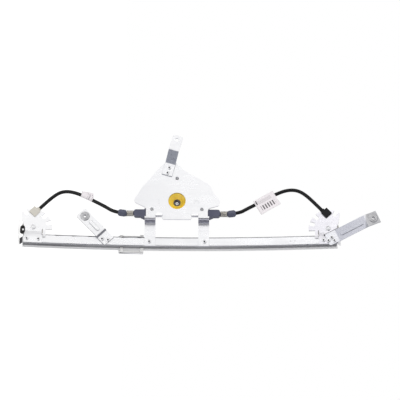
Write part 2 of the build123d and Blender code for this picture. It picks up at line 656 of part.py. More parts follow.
def end_fitting(side):
    plane = fitting_plane(side)
    front, step, back = (d - CABLE_DEPTH for d in (FITTING_FRONT, FITTING_STEP, FITTING_BACK))
    head = Pos(0, 0, front) * extrude(RectangleRounded(FITTING_SIDE, FITTING_SIDE, 1.0), step - front)
    nose = Pos(0, 0, step) * extrude(RectangleRounded(FITTING_SIDE, FITTING_NOSE, 1.0), back - step)
    neck = Pos(-FITTING_SIDE / 2 + 2, 0, 0) * Rot(Y=-90) * Cylinder(
        FITTING_NECK_R, FITTING_NECK + 2, align=(Align.CENTER, Align.CENTER, Align.MIN))
    body = head + nose + neck
    fan_front = -FAN_STEP - FAN_SHEET - SEAT_GAP - CABLE_DEPTH
    for edge in (-1, 1):
        groove = Pos(0, edge * (FITTING_SIDE / 2), fan_front + FAN_SHEET / 2) * Box(
            FITTING_SIDE + 2, 2 * FITTING_GROOVE, FAN_SHEET)
        body -= groove
    body -= Rot(Y=90) * Cylinder(CABLE_BORE_R, 4 * FITTING_SIDE)
    seat = FITTING_DISTANCE - CONDUIT_END
    body -= Pos(seat, 0, 0) * Rot(Y=-90) * Cylinder(CONDUIT_R, 3 * FITTING_SIDE, align=(
        Align.CENTER, Align.CENTER, Align.MIN))
    return plane.location * body


# ---------------------------------------------------------------- pulleys and their plates
def pulley(side):
    """Grooved wheel with a hub and a dished web."""
    half = PULLEY_WIDTH / 2
    floor = PULLEY_PITCH_R - CABLE_R - MOVING_GAP
    wheel = turned(
        Plane.XY, (PULLEY_AXLE_R + RUNNING_GAP, -half), (PULLEY_HUB_R, -half), (PULLEY_HUB_R + 1, -1.0),
        (floor - 2.5, -1.0), (floor - 1.2, -half), (PULLEY_R, -half), (PULLEY_R, 1.5 - half),
        (floor, -CABLE_R - MOVING_GAP), (floor, CABLE_R + MOVING_GAP), (PULLEY_R, half - 1.5),
        (PULLEY_R, half), (floor - 1.2, half), (floor - 2.5, 1.0), (PULLEY_HUB_R + 1, 1.0),
        (PULLEY_HUB_R, half), (PULLEY_AXLE_R + RUNNING_GAP, half))
    return pulley_frame(pulley_z(side)).location * wheel


def pulley_axle(side):
    """Shouldered rivet from the fan through the pulley."""
    half = PULLEY_WIDTH / 2
    fan_back = -FAN_STEP - SEAT_GAP - CABLE_DEPTH
    fan_front = fan_back - FAN_SHEET
    pin = turned(
        Plane.XY, (0, fan_front - 1.2), (1.7, fan_front - 1.2), (2.0, fan_front - 0.5), (2.9, fan_front - 0.5),
        (3.2, fan_front - 1.4), (3.9, fan_front - 1.2), (4.6, fan_front - 0.5), (4.6, fan_front),
        (AXLE_NECK_R, fan_front), (AXLE_NECK_R, fan_back), (PULLEY_HUB_R - 1, fan_back), (PULLEY_HUB_R - 1, -half - 0.15),
        (PULLEY_AXLE_R, -half - 0.15), (PULLEY_AXLE_R, half + 0.15), (PULLEY_HUB_R, half + 0.15),
        (PULLEY_HUB_R, half + 1.2), (PULLEY_HUB_R - 2, half + 2.0), (0, half + 2.0))
    return pulley_frame(pulley_z(side)).location * pin


def fan_point(side, degrees, radius):
    """(t, x) from the pulley's axis, the angle counted from -X towards the middle of the rail."""
    angle = math.radians(degrees)
    return -side * radius * math.sin(angle), -radius * math.cos(angle)


def fan_sketch(side):
    """Fan in (t, x) from the pulley's axis."""
    inner = -side
    widest = FAN_OUTER_EDGE[0][0]
    fan = Circle(FAN_R)
    fan &= Pos(inner * (FAN_R - widest) / 2 + inner * 2, -FAN_R / 2 + FAN_BASE_X / 2) * Rectangle(
        FAN_R + widest + 4, FAN_R + FAN_BASE_X)
    edge = [(widest, -FAN_R - 5), *FAN_OUTER_EDGE, (FAN_R, FAN_OUTER_EDGE[-1][1]), (FAN_R, -FAN_R - 5)]
    outer_trim = Polygon(*[(-inner * t, x) for t, x in edge], align=None)
    fan -= outer_trim
    for degrees in FAN_SLOTS_DEG:
        t, x = fan_point(side, degrees, FAN_R - FAN_SLOT_DEPTH + FAN_SLOT_WIDTH / 2)
        notch = Pos(t, x) * Circle(FAN_SLOT_WIDTH / 2)
        t2, x2 = fan_point(side, degrees, FAN_R - FAN_SLOT_DEPTH + FAN_SLOT_WIDTH / 2 + 10)
        notch += Pos(t2, x2) * Rot(0, 0, inner * (degrees)) * Rectangle(FAN_SLOT_WIDTH, 20)
        fan -= notch
    contact, direction = entry_line(side)
    core = FITTING_SIDE - 2 * FITTING_GROOVE
    slot_end = contact - direction * (FITTING_DISTANCE - FITTING_SIDE / 2)
    centre = slot_end - direction * 20
    tilt = math.degrees(math.atan2(direction.Y, direction.X))
    fan -= Pos(centre.X, centre.Y) * Rot(0, 0, tilt) * Rectangle(40, core)
    return fan


def hook_section(fan_depth):
    """Section of the hook in (x, depth): from the fan's edge into the slot of the web."""
    slot_x = HOOK_SLOT_X + FAN_SHEET + 0.3
    return strip([(PULLEY_X + FAN_BASE_X - 2, fan_depth), (slot_x - 3.0, fan_depth),
                  (slot_x, fan_depth + 2.6), (slot_x, RAIL_SHEET + 0.8)], FAN_SHEET, 0.5)


def pulley_plate(side):
    """Fan beside the rail, stepped down to a tab on the web, with a hook into the web's slot."""
    inner = -side
    fan_depth = -FAN_STEP - FAN_SHEET - SEAT_GAP
    tab_depth = -FAN_SHEET - SEAT_GAP
    plate = sheet(Pos(0, PULLEY_X) * fan_sketch(side), fan_depth, FAN_SHEET)
    neck_from, neck_to = NECK_SPAN[side]
    step_x = RAIL_X - RAIL_WIDTH / 2 - 2.2
    tab_x = step_x + FAN_STEP
    neck = strip([(PULLEY_X + FAN_BASE_X - 3, fan_depth), (step_x, fan_depth), (tab_x, tab_depth),
                  (TAB_X1, tab_depth)], FAN_SHEET, 1.0)
    low, high = sorted((inner * neck_from, inner * neck_to))
    plate += Pos(0, 0, low) * extrude(neck, high - low)
    if side > 0:
        tab = Rectangle(UPPER_TAB_LENGTH, TAB_X1 - tab_x - 1.5, align=(Align.MIN, Align.MIN))
        plate += sheet(Pos(high - 1, tab_x + 1.5) * tab, tab_depth, FAN_SHEET)
    plate += Pos(0, 0, inner * HOOK_OFFSET - HOOK_WIDTH / 2) * extrude(hook_section(fan_depth), HOOK_WIDTH)
    if side < 0:
        tongue = Rectangle(*BUMPER_TONGUE, align=(Align.MIN, Align.CENTER))
        plate += sheet(Pos(BUMPER_T - 1.9, BUMPER_X) * tongue, fan_depth, FAN_SHEET)
    plate -= Pos(PULLEY_X, 0, 0) * peg(0, 0, fan_depth - 1, 0, AXLE_NECK_R)
    plate = on_rail(plate, pulley_z(side))
    if side > 0:
        width = UPPER_BRACKET_WIDTH + 2 * BRACKET_CLEARANCE
        plane = strap_plane(UPPER_BRACKET_START, UPPER_BRACKET_RUN)
        room = Pos(20, tab_depth - 3.05, 0) * Box(43, 6, width)
        plate -= on_rail(plane.location * room, UPPER_BRACKET_Z)
    return plate


# ---------------------------------------------------------------- brackets and their nuts
def strap_plane(start, direction):
    """Plane in (s, depth) from start (z, x) along direction (dz, dx)."""
    along = Vector(direction[1], 0, direction[0]).normalized()
    return Plane(origin=(start[1], 0, start[0]), x_dir=along, z_dir=along.cross(Vector(0, 1, 0)))


def bracket(profile, width, thickness, start, direction):
    """Bent strap: profile is its inboard face in (s, depth) from start (z, x) along direction."""
    plane = strap_plane(start, direction)
    strap = Pos(0, 0, -width / 2) * extrude(strip(profile, thickness, BRACKET_BEND), width)
    ends = strap.edges().filter_by(Axis.Y).group_by(Axis.X)
    strap = fillet(ends[-1], BRACKET_CORNER_R)
    return plane.location * strap, plane


def bead(plane, s0, s1, depth, width, height):
    """Raised stiffening rib on the inboard face of a strap."""
    rib = Pos((s0 + s1) / 2, 0, 0) * Rot(X=90) * extrude(SlotOverall(s1 - s0, width), height + 0.4)
    rib = Pos(0, depth + 0.4, 0) * rib
    return plane.location * rib


def clinch_nut():
    """Round nut on the origin: flange on the inboard face, barrel through a 2 mm strap."""
    return turned(
        facing(), (NUT_BORE_R, -NUT_FLANGE - NUT_COLLAR), (NUT_COLLAR_R - 0.5, -NUT_FLANGE - NUT_COLLAR),
        (NUT_COLLAR_R, -NUT_FLANGE), (NUT_FLANGE_R - 1.0, -NUT_FLANGE), (NUT_FLANGE_R, -0.4),
        (NUT_FLANGE_R, 0), (NUT_BARREL_R, 0), (NUT_BARREL_R, NUT_BARREL), (NUT_BORE_R, NUT_BARREL))


def strap_feature(plane, s, depth, shape):
    """Places a shape drawn on the origin at s along a strap, its face at the given depth."""
    return plane.location * Pos(s, depth, 0) * Rot(Y=90) * shape


def lower_bracket():
    """Strap from the lower part of the rail to the door panel, joggled off the web."""
    joggle = LOWER_JOGGLE
    base = -FAN_SHEET - SEAT_GAP
    strap, plane = bracket(
        [(0, base), (17.5, base), (20.5, base - joggle), (70.5, base - joggle)],
        LOWER_BRACKET_WIDTH, BRACKET_SHEET, LOWER_BRACKET_START, LOWER_BRACKET_RUN)
    face = base - joggle
    strap += bead(plane, 26.0, 48.0, face, 5.0, 1.2)
    strap -= strap_feature(plane, LOWER_NUT_S, face, peg(0, 0, -5, 5, NUT_BARREL_R))
    nut = strap_feature(plane, LOWER_NUT_S, face, clinch_nut())
    return on_rail(strap, LOWER_BRACKET_Z), on_rail(nut, LOWER_BRACKET_Z)


def top_bracket():
    """Strap from the motor plate to the door panel."""
    strap, plane = bracket(
        [(0, -BRACKET_SHEET), (21.5, -BRACKET_SHEET), (42.5, -TOP_RISE), (70.0, -TOP_RISE)],
        TOP_BRACKET_WIDTH, BRACKET_SHEET, TOP_BRACKET_START, TOP_BRACKET_RUN)
    strap -= strap_feature(plane, TOP_HOLE_S, -TOP_RISE, peg(0, 0, -5, 5, TOP_HOLE_R))
    return strap


def upper_bracket():
    """Ribbed strap from the upper end of the rail to the door panel."""
    base = -2 * FAN_SHEET - 2 * SEAT_GAP
    rise_s, crest_s, end_s = UPPER_BENDS_S
    strap, plane = bracket(
        [(0, base), (rise_s, base), (crest_s, base - UPPER_RISE), (end_s, base - UPPER_RISE + UPPER_RETURN)],
        UPPER_BRACKET_WIDTH, BRACKET_SHEET, UPPER_BRACKET_START, UPPER_BRACKET_RUN)
    slope = math.degrees(math.atan2(UPPER_RISE, crest_s - rise_s))
    rib = Rot(Z=-slope) * Rot(X=90) * extrude(SlotOverall(44.0, 7.0), 1.8)
    rib = Pos((rise_s + crest_s) / 2, base - UPPER_RISE / 2 + 0.5, 0) * rib
    strap += plane.location * rib
    back = math.degrees(math.atan2(UPPER_RETURN, end_s - crest_s))
    face = base - UPPER_RISE + (UPPER_NUT_S - crest_s) * math.tan(math.radians(back))
    seat = plane.location * Pos(UPPER_NUT_S, face, 0) * Rot(Z=back) * Rot(Y=90)
    strap -= seat * peg(0, 0, -5, 5, NUT_BARREL_R)
    nut = seat * clinch_nut()
    return on_rail(strap, UPPER_BRACKET_Z), on_rail(nut, UPPER_BRACKET_Z)


# ---------------------------------------------------------------- carrier
def block(x0, x1, depth0, depth1, t0, t1):
    return Pos((x0 + x1) / 2, (depth0 + depth1) / 2, (t0 + t1) / 2) * Box(
        x1 - x0, depth1 - depth0, t1 - t0)


def carrier_slider():
    """Plastic slider: a tongue in the channel and hooks round both lips."""
    half = CARRIER_LENGTH / 2
    channel_x0 = RAIL_X - RAIL_WIDTH / 2 + RAIL_SHEET + MOVING_GAP
    channel_x1 = RAIL_X + RAIL_WIDTH / 2 - RAIL_SHEET - MOVING_GAP
    lip_x0 = RAIL_X - RAIL_WIDTH / 2 - RAIL_LIP - MOVING_GAP - 0.1
    lip_x1 = RAIL_X + RAIL_WIDTH / 2 + RAIL_LIP + MOVING_GAP + 0.1
    front = RAIL_DEPTH + MOVING_GAP
    body = block(channel_x0, channel_x1, 3.2, front + 1, -half, half)
    body += block(CARRIER_X0, lip_x1 + HOOK_WALL, front, SLIDER_BACK, -half, half)
    under_lip = RAIL_DEPTH - RAIL_SHEET - MOVING_GAP - 0.1
    for t0, t1 in CARRIER_HOOKS:
        body += block(lip_x1, lip_x1 + HOOK_WALL, HOOK_TIP, SLIDER_BACK, t0, t1)
        body += block(RAIL_X + RAIL_WIDTH / 2 + MOVING_GAP + 0.1, lip_x1 + 1, HOOK_TIP, under_lip, t0, t1)
        body += block(lip_x0 - HOOK_WALL, lip_x0, HOOK_TIP + 2, SLIDER_BACK, t0, t1)
        body += block(lip_x0 - 1, RAIL_X - RAIL_WIDTH / 2 - MOVING_GAP - 0.1, HOOK_TIP + 2, under_lip, t0, t1)
    body -= block(CABLE_X - 1.3, CABLE_X + 1.3, 2, CABLE_DEPTH + 1.3, -half - 1, half + 1)
    for t in (-half, half - NIPPLE_POCKET):
        body -= Pos(CABLE_X, CABLE_DEPTH, t - 0.5 * (t < 0)) * Cylinder(
            NIPPLE_R + 0.1, NIPPLE_POCKET + 0.5, align=(Align.CENTER, Align.CENTER, Align.MIN))
    body -= Pos(CLAMP_X, 0, 0) * peg(0, 0, front - 2.6, SLIDER_BACK + 1, NUT_POCKET_R)
    for x, t in CARRIER_RIVETS:
        body -= Pos(x, 0, t) * peg(0, 0, 0, 40, CARRIER_RIVET_R)
    return body


def glass_bracket():
    """Steel plate on the slider, bent into a channel that holds the glass's lower edge."""
    half = CARRIER_LENGTH / 2
    face = SLIDER_BACK + BRACKET_SHEET
    jaw = face + GLASS + 2 * LINER
    channel = strip([(half, face), (-half + BRACKET_SHEET, face), (-half + BRACKET_SHEET, jaw),
                     (JAW_T, jaw)], BRACKET_SHEET, 0.5)
    plane = Plane(origin=(JAW_X1, 0, 0), x_dir=(0, 0, 1), z_dir=(-1, 0, 0))
    body = plane.location * extrude(channel, JAW_X1 - JAW_X0)
    plate = rounded([(-half, CARRIER_X0), (half, CARRIER_X0), (half, 84.0), (-half, 80.6)], (4, 4, 3, 3))
    body += sheet(plate, SLIDER_BACK, BRACKET_SHEET)
    body -= Pos(CLAMP_X, 0, 0) * peg(0, 0, 0, 60, CLAMP_SCREW_R + 0.3)
    for x, t in CARRIER_RIVETS:
        body -= Pos(x, 0, t) * peg(0, 0, 0, 40, CARRIER_RIVET_R)
    return body


def glass_liner():
    """Rubber lining of the channel."""
    half = CARRIER_LENGTH / 2
    face = SLIDER_BACK + BRACKET_SHEET
    floor_t = -half + BRACKET_SHEET
    lining = strip([(JAW_T - 2, face + GLASS + 2 * LINER), (floor_t, face + GLASS + 2 * LINER),
                    (floor_t, face), (half - 2, face)], LINER, 0.2)
    plane = Plane(origin=(JAW_X1 - 1, 0, 0), x_dir=(0, 0, 1), z_dir=(-1, 0, 0))
    body = plane.location * extrude(lining, JAW_X1 - JAW_X0 - 2)
    return body - Pos(CLAMP_X, 0, 0) * peg(0, 0, 0, 60, CLAMP_SCREW_R + 0.3)


def clamp_screw():
    jaw = SLIDER_BACK + BRACKET_SHEET + GLASS + 2 * LINER + BRACKET_SHEET
    shaft = peg(0, 0, SLIDER_BACK - CLAMP_NUT_HEIGHT, jaw, CLAMP_SCREW_R)
    washer = peg(0, 0, jaw, jaw + 1.2, 6.5)
    head = sheet(RegularPolygon(5.0, 6, major_radius=False), jaw + 1.2, 4.0)
    return Pos(CLAMP_X, 0, 0) * (shaft + washer + head)


def clamp_nut():
    nut = sheet(RegularPolygon(5.0, 6, major_radius=False), SLIDER_BACK - CLAMP_NUT_HEIGHT, CLAMP_NUT_HEIGHT)
    return Pos(CLAMP_X, 0, 0) * (nut - peg(0, 0, 0, 40, CLAMP_SCREW_R))


def cable_nipples():
    """Crimped sleeves that pull the slider, one from each cable."""
    half = CARRIER_LENGTH / 2
    group = Part()
    solids = []
    for start in (-half + NIPPLE_POCKET - NIPPLE_LENGTH, half - NIPPLE_POCKET):
        sleeve = Pos(CABLE_X, CABLE_DEPTH, start) * Cylinder(
            NIPPLE_R, NIPPLE_LENGTH, align=(Align.CENTER, Align.CENTER, Align.MIN))
        sleeve -= Pos(CABLE_X, CABLE_DEPTH, 0) * Cylinder(CABLE_R + MOVING_GAP, 3 * half)
        solids.append(sleeve)
    return group + solids


def carrier_rivets():
    solids = [Pos(x, 0, t) * turned(
        facing(), (0, SLIDER_BACK - 3.4), (CARRIER_RIVET_R, SLIDER_BACK - 3.4),
        (CARRIER_RIVET_R, SLIDER_BACK + BRACKET_SHEET), (2.9, SLIDER_BACK + BRACKET_SHEET),
        (2.2, SLIDER_BACK + BRACKET_SHEET + 1.2), (0, SLIDER_BACK + BRACKET_SHEET + 1.2))
        for x, t in CARRIER_RIVETS]
    return Part() + solids


# ---------------------------------------------------------------- rubber stop and labels
def lower_bumper():
    """Rubber cap on the tongue at the lower fan's outer edge, with a window in its face."""
    fan_depth = -FAN_STEP - FAN_SHEET - SEAT_GAP
    cap = sheet(Pos(BUMPER_T, BUMPER_X) * RectangleRounded(*BUMPER_SIZE, 3.6), fan_depth - 3.0, 8.0)
    cap -= sheet(Pos(BUMPER_T + 0.8, BUMPER_X) * RectangleRounded(*BUMPER_WINDOW, 1.2), fan_depth - 4.0, 5.0)
    return on_rail(cap, PULLEY_LOW_Z) - pulley_plate(-1)


def conduit_label():
    """Blank paper flag folded round the lower conduit."""
    path = FilletPolyline(*conduit_route(-1), radius=arc_radii(conduit_route(-1)))
    a, b = Vector(*LABEL_FROM), Vector(*LABEL_TO)
    middle = (a + b) * 0.5
    window = Plane(origin=middle, z_dir=b - a).location * Box(20, 20, (b - a).length)
    wrap = tube(path, CONDUIT_R + LABEL_THICKNESS) & window
    flag = sheet(Polygon(*LABEL_FLAG, align=None), LABEL_FLAG_Y, 2 * LABEL_THICKNESS)
    return wrap + flag - tube(path, CONDUIT_R)


def hang_tag():
    """Blank card tied flat on the upper conduit."""
    card = RectangleRounded(TAG_LENGTH, TAG_WIDTH, 1.0)
    for x in (-TAG_TIE_REACH, TAG_TIE_REACH):
        card -= Pos(TAG_TIE_T, TAG_CONDUIT_X + x) * Circle(1.5)
    return tag_plane().location * extrude(card, TAG_THICKNESS)


def tag_plane():
    tilt = math.radians(TAG_TILT_DEG)
    return Plane(origin=TAG_CENTRE, x_dir=(-math.sin(tilt), 0, math.cos(tilt)), z_dir=(0, 1, 0))


def tag_tie():
    ring = Pos(TAG_TIE_T, TAG_CONDUIT_X, TAG_THICKNESS + CONDUIT_R) * Rot(Y=90) * Torus(TAG_TIE_R, 0.7)
    return tag_plane().location * ring


# ---------------------------------------------------------------- assembly
PARTS = {
    "guide_rail": guide_rail(),
    "motor_plate": motor_plate(),
    "cable_drum": cable_drum(),
    "spline_insert": spline_insert(),
    "drum_cable": drum_cable(),
    "drum_housing": drum_housing(),
    "motor_inserts": motor_inserts(),
}
for side, end in ((-1, "lower"), (1, "upper")):
    PARTS[end + "_conduit"] = conduit(side)
    PARTS[end + "_cable"] = cable(side)
    PARTS[end + "_ferrule"] = ferrule(side)
    PARTS[end + "_tension_spring"] = tension_spring(side)
    PARTS[end + "_end_fitting"] = end_fitting(side)
    PARTS[end + "_pulley"] = pulley(side)
    PARTS[end + "_pulley_axle"] = pulley_axle(side)
    PARTS[end + "_pulley_plate"] = pulley_plate(side)
PARTS["lower_bracket"], lower_nut = lower_bracket()
PARTS["upper_bracket"], upper_nut = upper_bracket()
PARTS["top_bracket"] = top_bracket()
PARTS["clinch_nuts"] = Part() + [lower_nut, upper_nut]
PARTS["lower_bumper"] = lower_bumper()
PARTS["conduit_label"] = conduit_label()
PARTS["hang_tag"] = hang_tag()
PARTS["tag_tie"] = tag_tie()
for name, make in (("carrier_slider", carrier_slider), ("glass_bracket", glass_bracket),
                   ("glass_liner", glass_liner), ("clamp_screw", clamp_screw),
                   ("clamp_nut", clamp_nut), ("cable_nipples", cable_nipples),
                   ("carrier_rivets", carrier_rivets)):
    PARTS[name] = on_rail(make(), CARRIER_Z)

RIVET_GROUPS = {
    "leg_rivets": [(z, LEG_RIVET_X, -PLATE_SHEET, ("motor_plate",)) for z in (-47.0, 47.0)],
    "lower_plate_rivets": [(PULLEY_LOW_Z + t, TAB_RIVET_X, -FAN_SHEET - SEAT_GAP, ("lower_pulley_plate",))
                           for t in LOWER_TAB_RIVETS_T],
    "lower_bracket_rivets": [(z, x, -FAN_SHEET - SEAT_GAP, ("lower_bracket",))
                             for z, x in LOWER_BRACKET_RIVETS],
    "upper_plate_rivets": [(PULLEY_HIGH_Z + UPPER_TAB_RIVET_T, TAB_RIVET_X, -FAN_SHEET - SEAT_GAP, ("upper_pulley_plate",)),
                           *[(z, x, -2 * FAN_SHEET - 2 * SEAT_GAP, ("upper_pulley_plate", "upper_bracket"))
                             for z, x in UPPER_BRACKET_RIVETS]],
}
for name, places in RIVET_GROUPS.items():
    solids = []
    for z, x, grip_front, holders in places:
        solid, hole = rail_rivet(z, x, grip_front)
        solids.append(solid)
        for holder in (*holders, "guide_rail"):
            PARTS[holder] -= hole
    PARTS[name] = Part() + solids
top_rivets = []
for z, x in TOP_BRACKET_RIVETS:
    solid = Pos(x, 0, z) * rivet(-BRACKET_SHEET, PLATE_SHEET)
    top_rivets.append(solid)
    for holder in ("top_bracket", "motor_plate"):
        PARTS[holder] -= Pos(x, 0, z) * shank(-BRACKET_SHEET, PLATE_SHEET)
PARTS["top_bracket_rivets"] = Part() + top_rivets

os.makedirs("parts", exist_ok=True)
for name, shape in PARTS.items():
    export_step(shape, f"parts/{name}.step")
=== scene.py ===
"""Looks of the window regulator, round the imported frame.

Camera, materials, conduits, springs, labels, the moulded housing, small steel pieces and the stage.
"""

import bmesh
import bpy
import json
import math
from mathutils import Matrix, Vector


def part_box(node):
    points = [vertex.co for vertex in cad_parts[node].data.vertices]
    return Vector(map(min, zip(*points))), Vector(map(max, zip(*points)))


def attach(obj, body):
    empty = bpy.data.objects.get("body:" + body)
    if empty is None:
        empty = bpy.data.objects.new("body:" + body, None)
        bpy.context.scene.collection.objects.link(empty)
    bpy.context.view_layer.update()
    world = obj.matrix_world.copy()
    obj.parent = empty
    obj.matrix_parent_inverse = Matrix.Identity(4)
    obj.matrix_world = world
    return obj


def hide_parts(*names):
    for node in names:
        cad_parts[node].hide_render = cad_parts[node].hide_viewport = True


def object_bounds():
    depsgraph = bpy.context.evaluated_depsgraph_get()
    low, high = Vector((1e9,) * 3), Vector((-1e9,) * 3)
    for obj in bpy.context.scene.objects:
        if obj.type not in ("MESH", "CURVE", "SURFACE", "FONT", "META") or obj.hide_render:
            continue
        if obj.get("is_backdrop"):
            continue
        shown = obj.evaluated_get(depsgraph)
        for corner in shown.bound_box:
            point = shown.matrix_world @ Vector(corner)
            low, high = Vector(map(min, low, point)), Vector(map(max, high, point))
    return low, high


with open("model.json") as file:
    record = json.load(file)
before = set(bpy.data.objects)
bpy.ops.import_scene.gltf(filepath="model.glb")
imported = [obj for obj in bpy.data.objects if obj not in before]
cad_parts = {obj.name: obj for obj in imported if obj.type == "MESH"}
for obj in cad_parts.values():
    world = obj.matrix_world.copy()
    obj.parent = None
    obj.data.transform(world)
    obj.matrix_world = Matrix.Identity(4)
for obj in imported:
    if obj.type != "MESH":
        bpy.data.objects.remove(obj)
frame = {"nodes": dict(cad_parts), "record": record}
cad_low, cad_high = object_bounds()
MM = 0.001
STATIC_BODY = "regulator"
WELD_DISTANCE = 1e-6
NORMAL_WEIGHT = 60


def new_object(name, data):
    """Object in the scene with this data."""
    holder = bpy.data.objects.new(name, data)
    bpy.context.scene.collection.objects.link(holder)
    return holder


# ---------------------------------------------------------------- camera
FRAME_WIDTH = 0.680  # metres across the photograph at the object
LENS = 250.0
SENSOR = 36.0
VIEW_AZIMUTH = math.radians(20.0)
VIEW_ROLL = math.radians(0.3)
VIEW_CENTRE_X = -1.8 * MM  # what stands at the middle of the picture
VIEW_CENTRE_Z = 39.1 * MM


def make_camera():
    """A long lens, on its side so that the rail lies across the picture."""
    distance = FRAME_WIDTH / 2 / (SENSOR / 2 / LENS)
    back = Vector((math.sin(VIEW_AZIMUTH), -math.cos(VIEW_AZIMUTH), 0))
    right = Vector((0, 0, 1))
    up = back.cross(right)
    turn = Matrix.Rotation(VIEW_ROLL, 3, back) @ Matrix((right, up, back)).transposed()
    camera = new_object("camera", bpy.data.cameras.new("camera"))
    camera.data.lens = LENS
    camera.data.sensor_width = SENSOR
    camera.data.clip_end = 100
    camera.matrix_world = Matrix.LocRotScale(
        Vector((VIEW_CENTRE_X, 0, VIEW_CENTRE_Z)) + back * distance, turn.to_quaternion(), None)
    bpy.context.scene.camera = camera


# ---------------------------------------------------------------- materials
class Paint:
    """A material built from nodes, with short calls for the usual ones."""

    def __init__(self, name, **values):
        self.material = bpy.data.materials.new(name)
        self.material.use_nodes = True
        self.tree = self.material.node_tree
        self.shader = self.tree.nodes["Principled BSDF"]
        for key, value in values.items():
            self.shader.inputs[key.replace("_", " ")].default_value = value
        self.place = self.add("ShaderNodeTexCoord").outputs["Object"]

    def add(self, kind, inputs=(), **settings):
        """A node with these inputs, each a value or another node's socket."""
        node = self.tree.nodes.new(kind)
        for key, value in settings.items():
            setattr(node, key, value)
        for key, value in dict(inputs).items():
            if isinstance(value, bpy.types.NodeSocket):
                self.tree.links.new(value, node.inputs[key])
            else:
                node.inputs[key].default_value = value
        return node

    def to(self, name, socket):
        self.tree.links.new(socket, self.shader.inputs[name])

    def parts(self, vector):
        """The x, y and z of a vector."""
        return self.add("ShaderNodeSeparateXYZ", {0: vector}).outputs

    def stretched(self, scale):
        return self.add("ShaderNodeMapping", {"Vector": self.place, "Scale": scale}).outputs[0]

    def noise(self, scale, detail=3.0, rough=0.5, where=None):
        return self.add("ShaderNodeTexNoise", {
            "Vector": where or self.place, "Scale": scale, "Detail": detail,
            "Roughness": rough}).outputs["Fac"]

    def grains(self, scale):
        return self.add("ShaderNodeTexVoronoi", {"Vector": self.place, "Scale": scale}).outputs["Distance"]

    def math(self, operation, a, b=0.0):
        return self.add("ShaderNodeMath", {0: a, 1: b}, operation=operation).outputs[0]

    def spread(self, fac, low, high, start=0.3, end=0.7):
        """fac from start to end becomes low to high."""
        return self.add("ShaderNodeMapRange", {
            "Value": fac, "From Min": start, "From Max": end, "To Min": low,
            "To Max": high}).outputs["Result"]

    def mix(self, fac, a, b):
        """Colour a where fac is 0, b where it is 1."""
        node = self.add("ShaderNodeMix", data_type="RGBA")
        for key, value in ((0, fac), (6, a), (7, b)):
            if isinstance(value, bpy.types.NodeSocket):
                self.tree.links.new(value, node.inputs[key])
            else:
                node.inputs[key].default_value = value if key == 0 else (*value, 1.0)
        return node.outputs[2]

    def crevice(self, distance):
        """1 in the open, less where another surface is near."""
        node = self.add("ShaderNodeAmbientOcclusion", {"Distance": distance}, samples=8)
        return node.outputs["AO"]

    def bump(self, height, strength, distance, under=None):
        inputs = {"Height": height, "Strength": strength, "Distance": distance}
        if under:
            inputs["Normal"] = under
        return self.add("ShaderNodeBump", inputs).outputs[0]


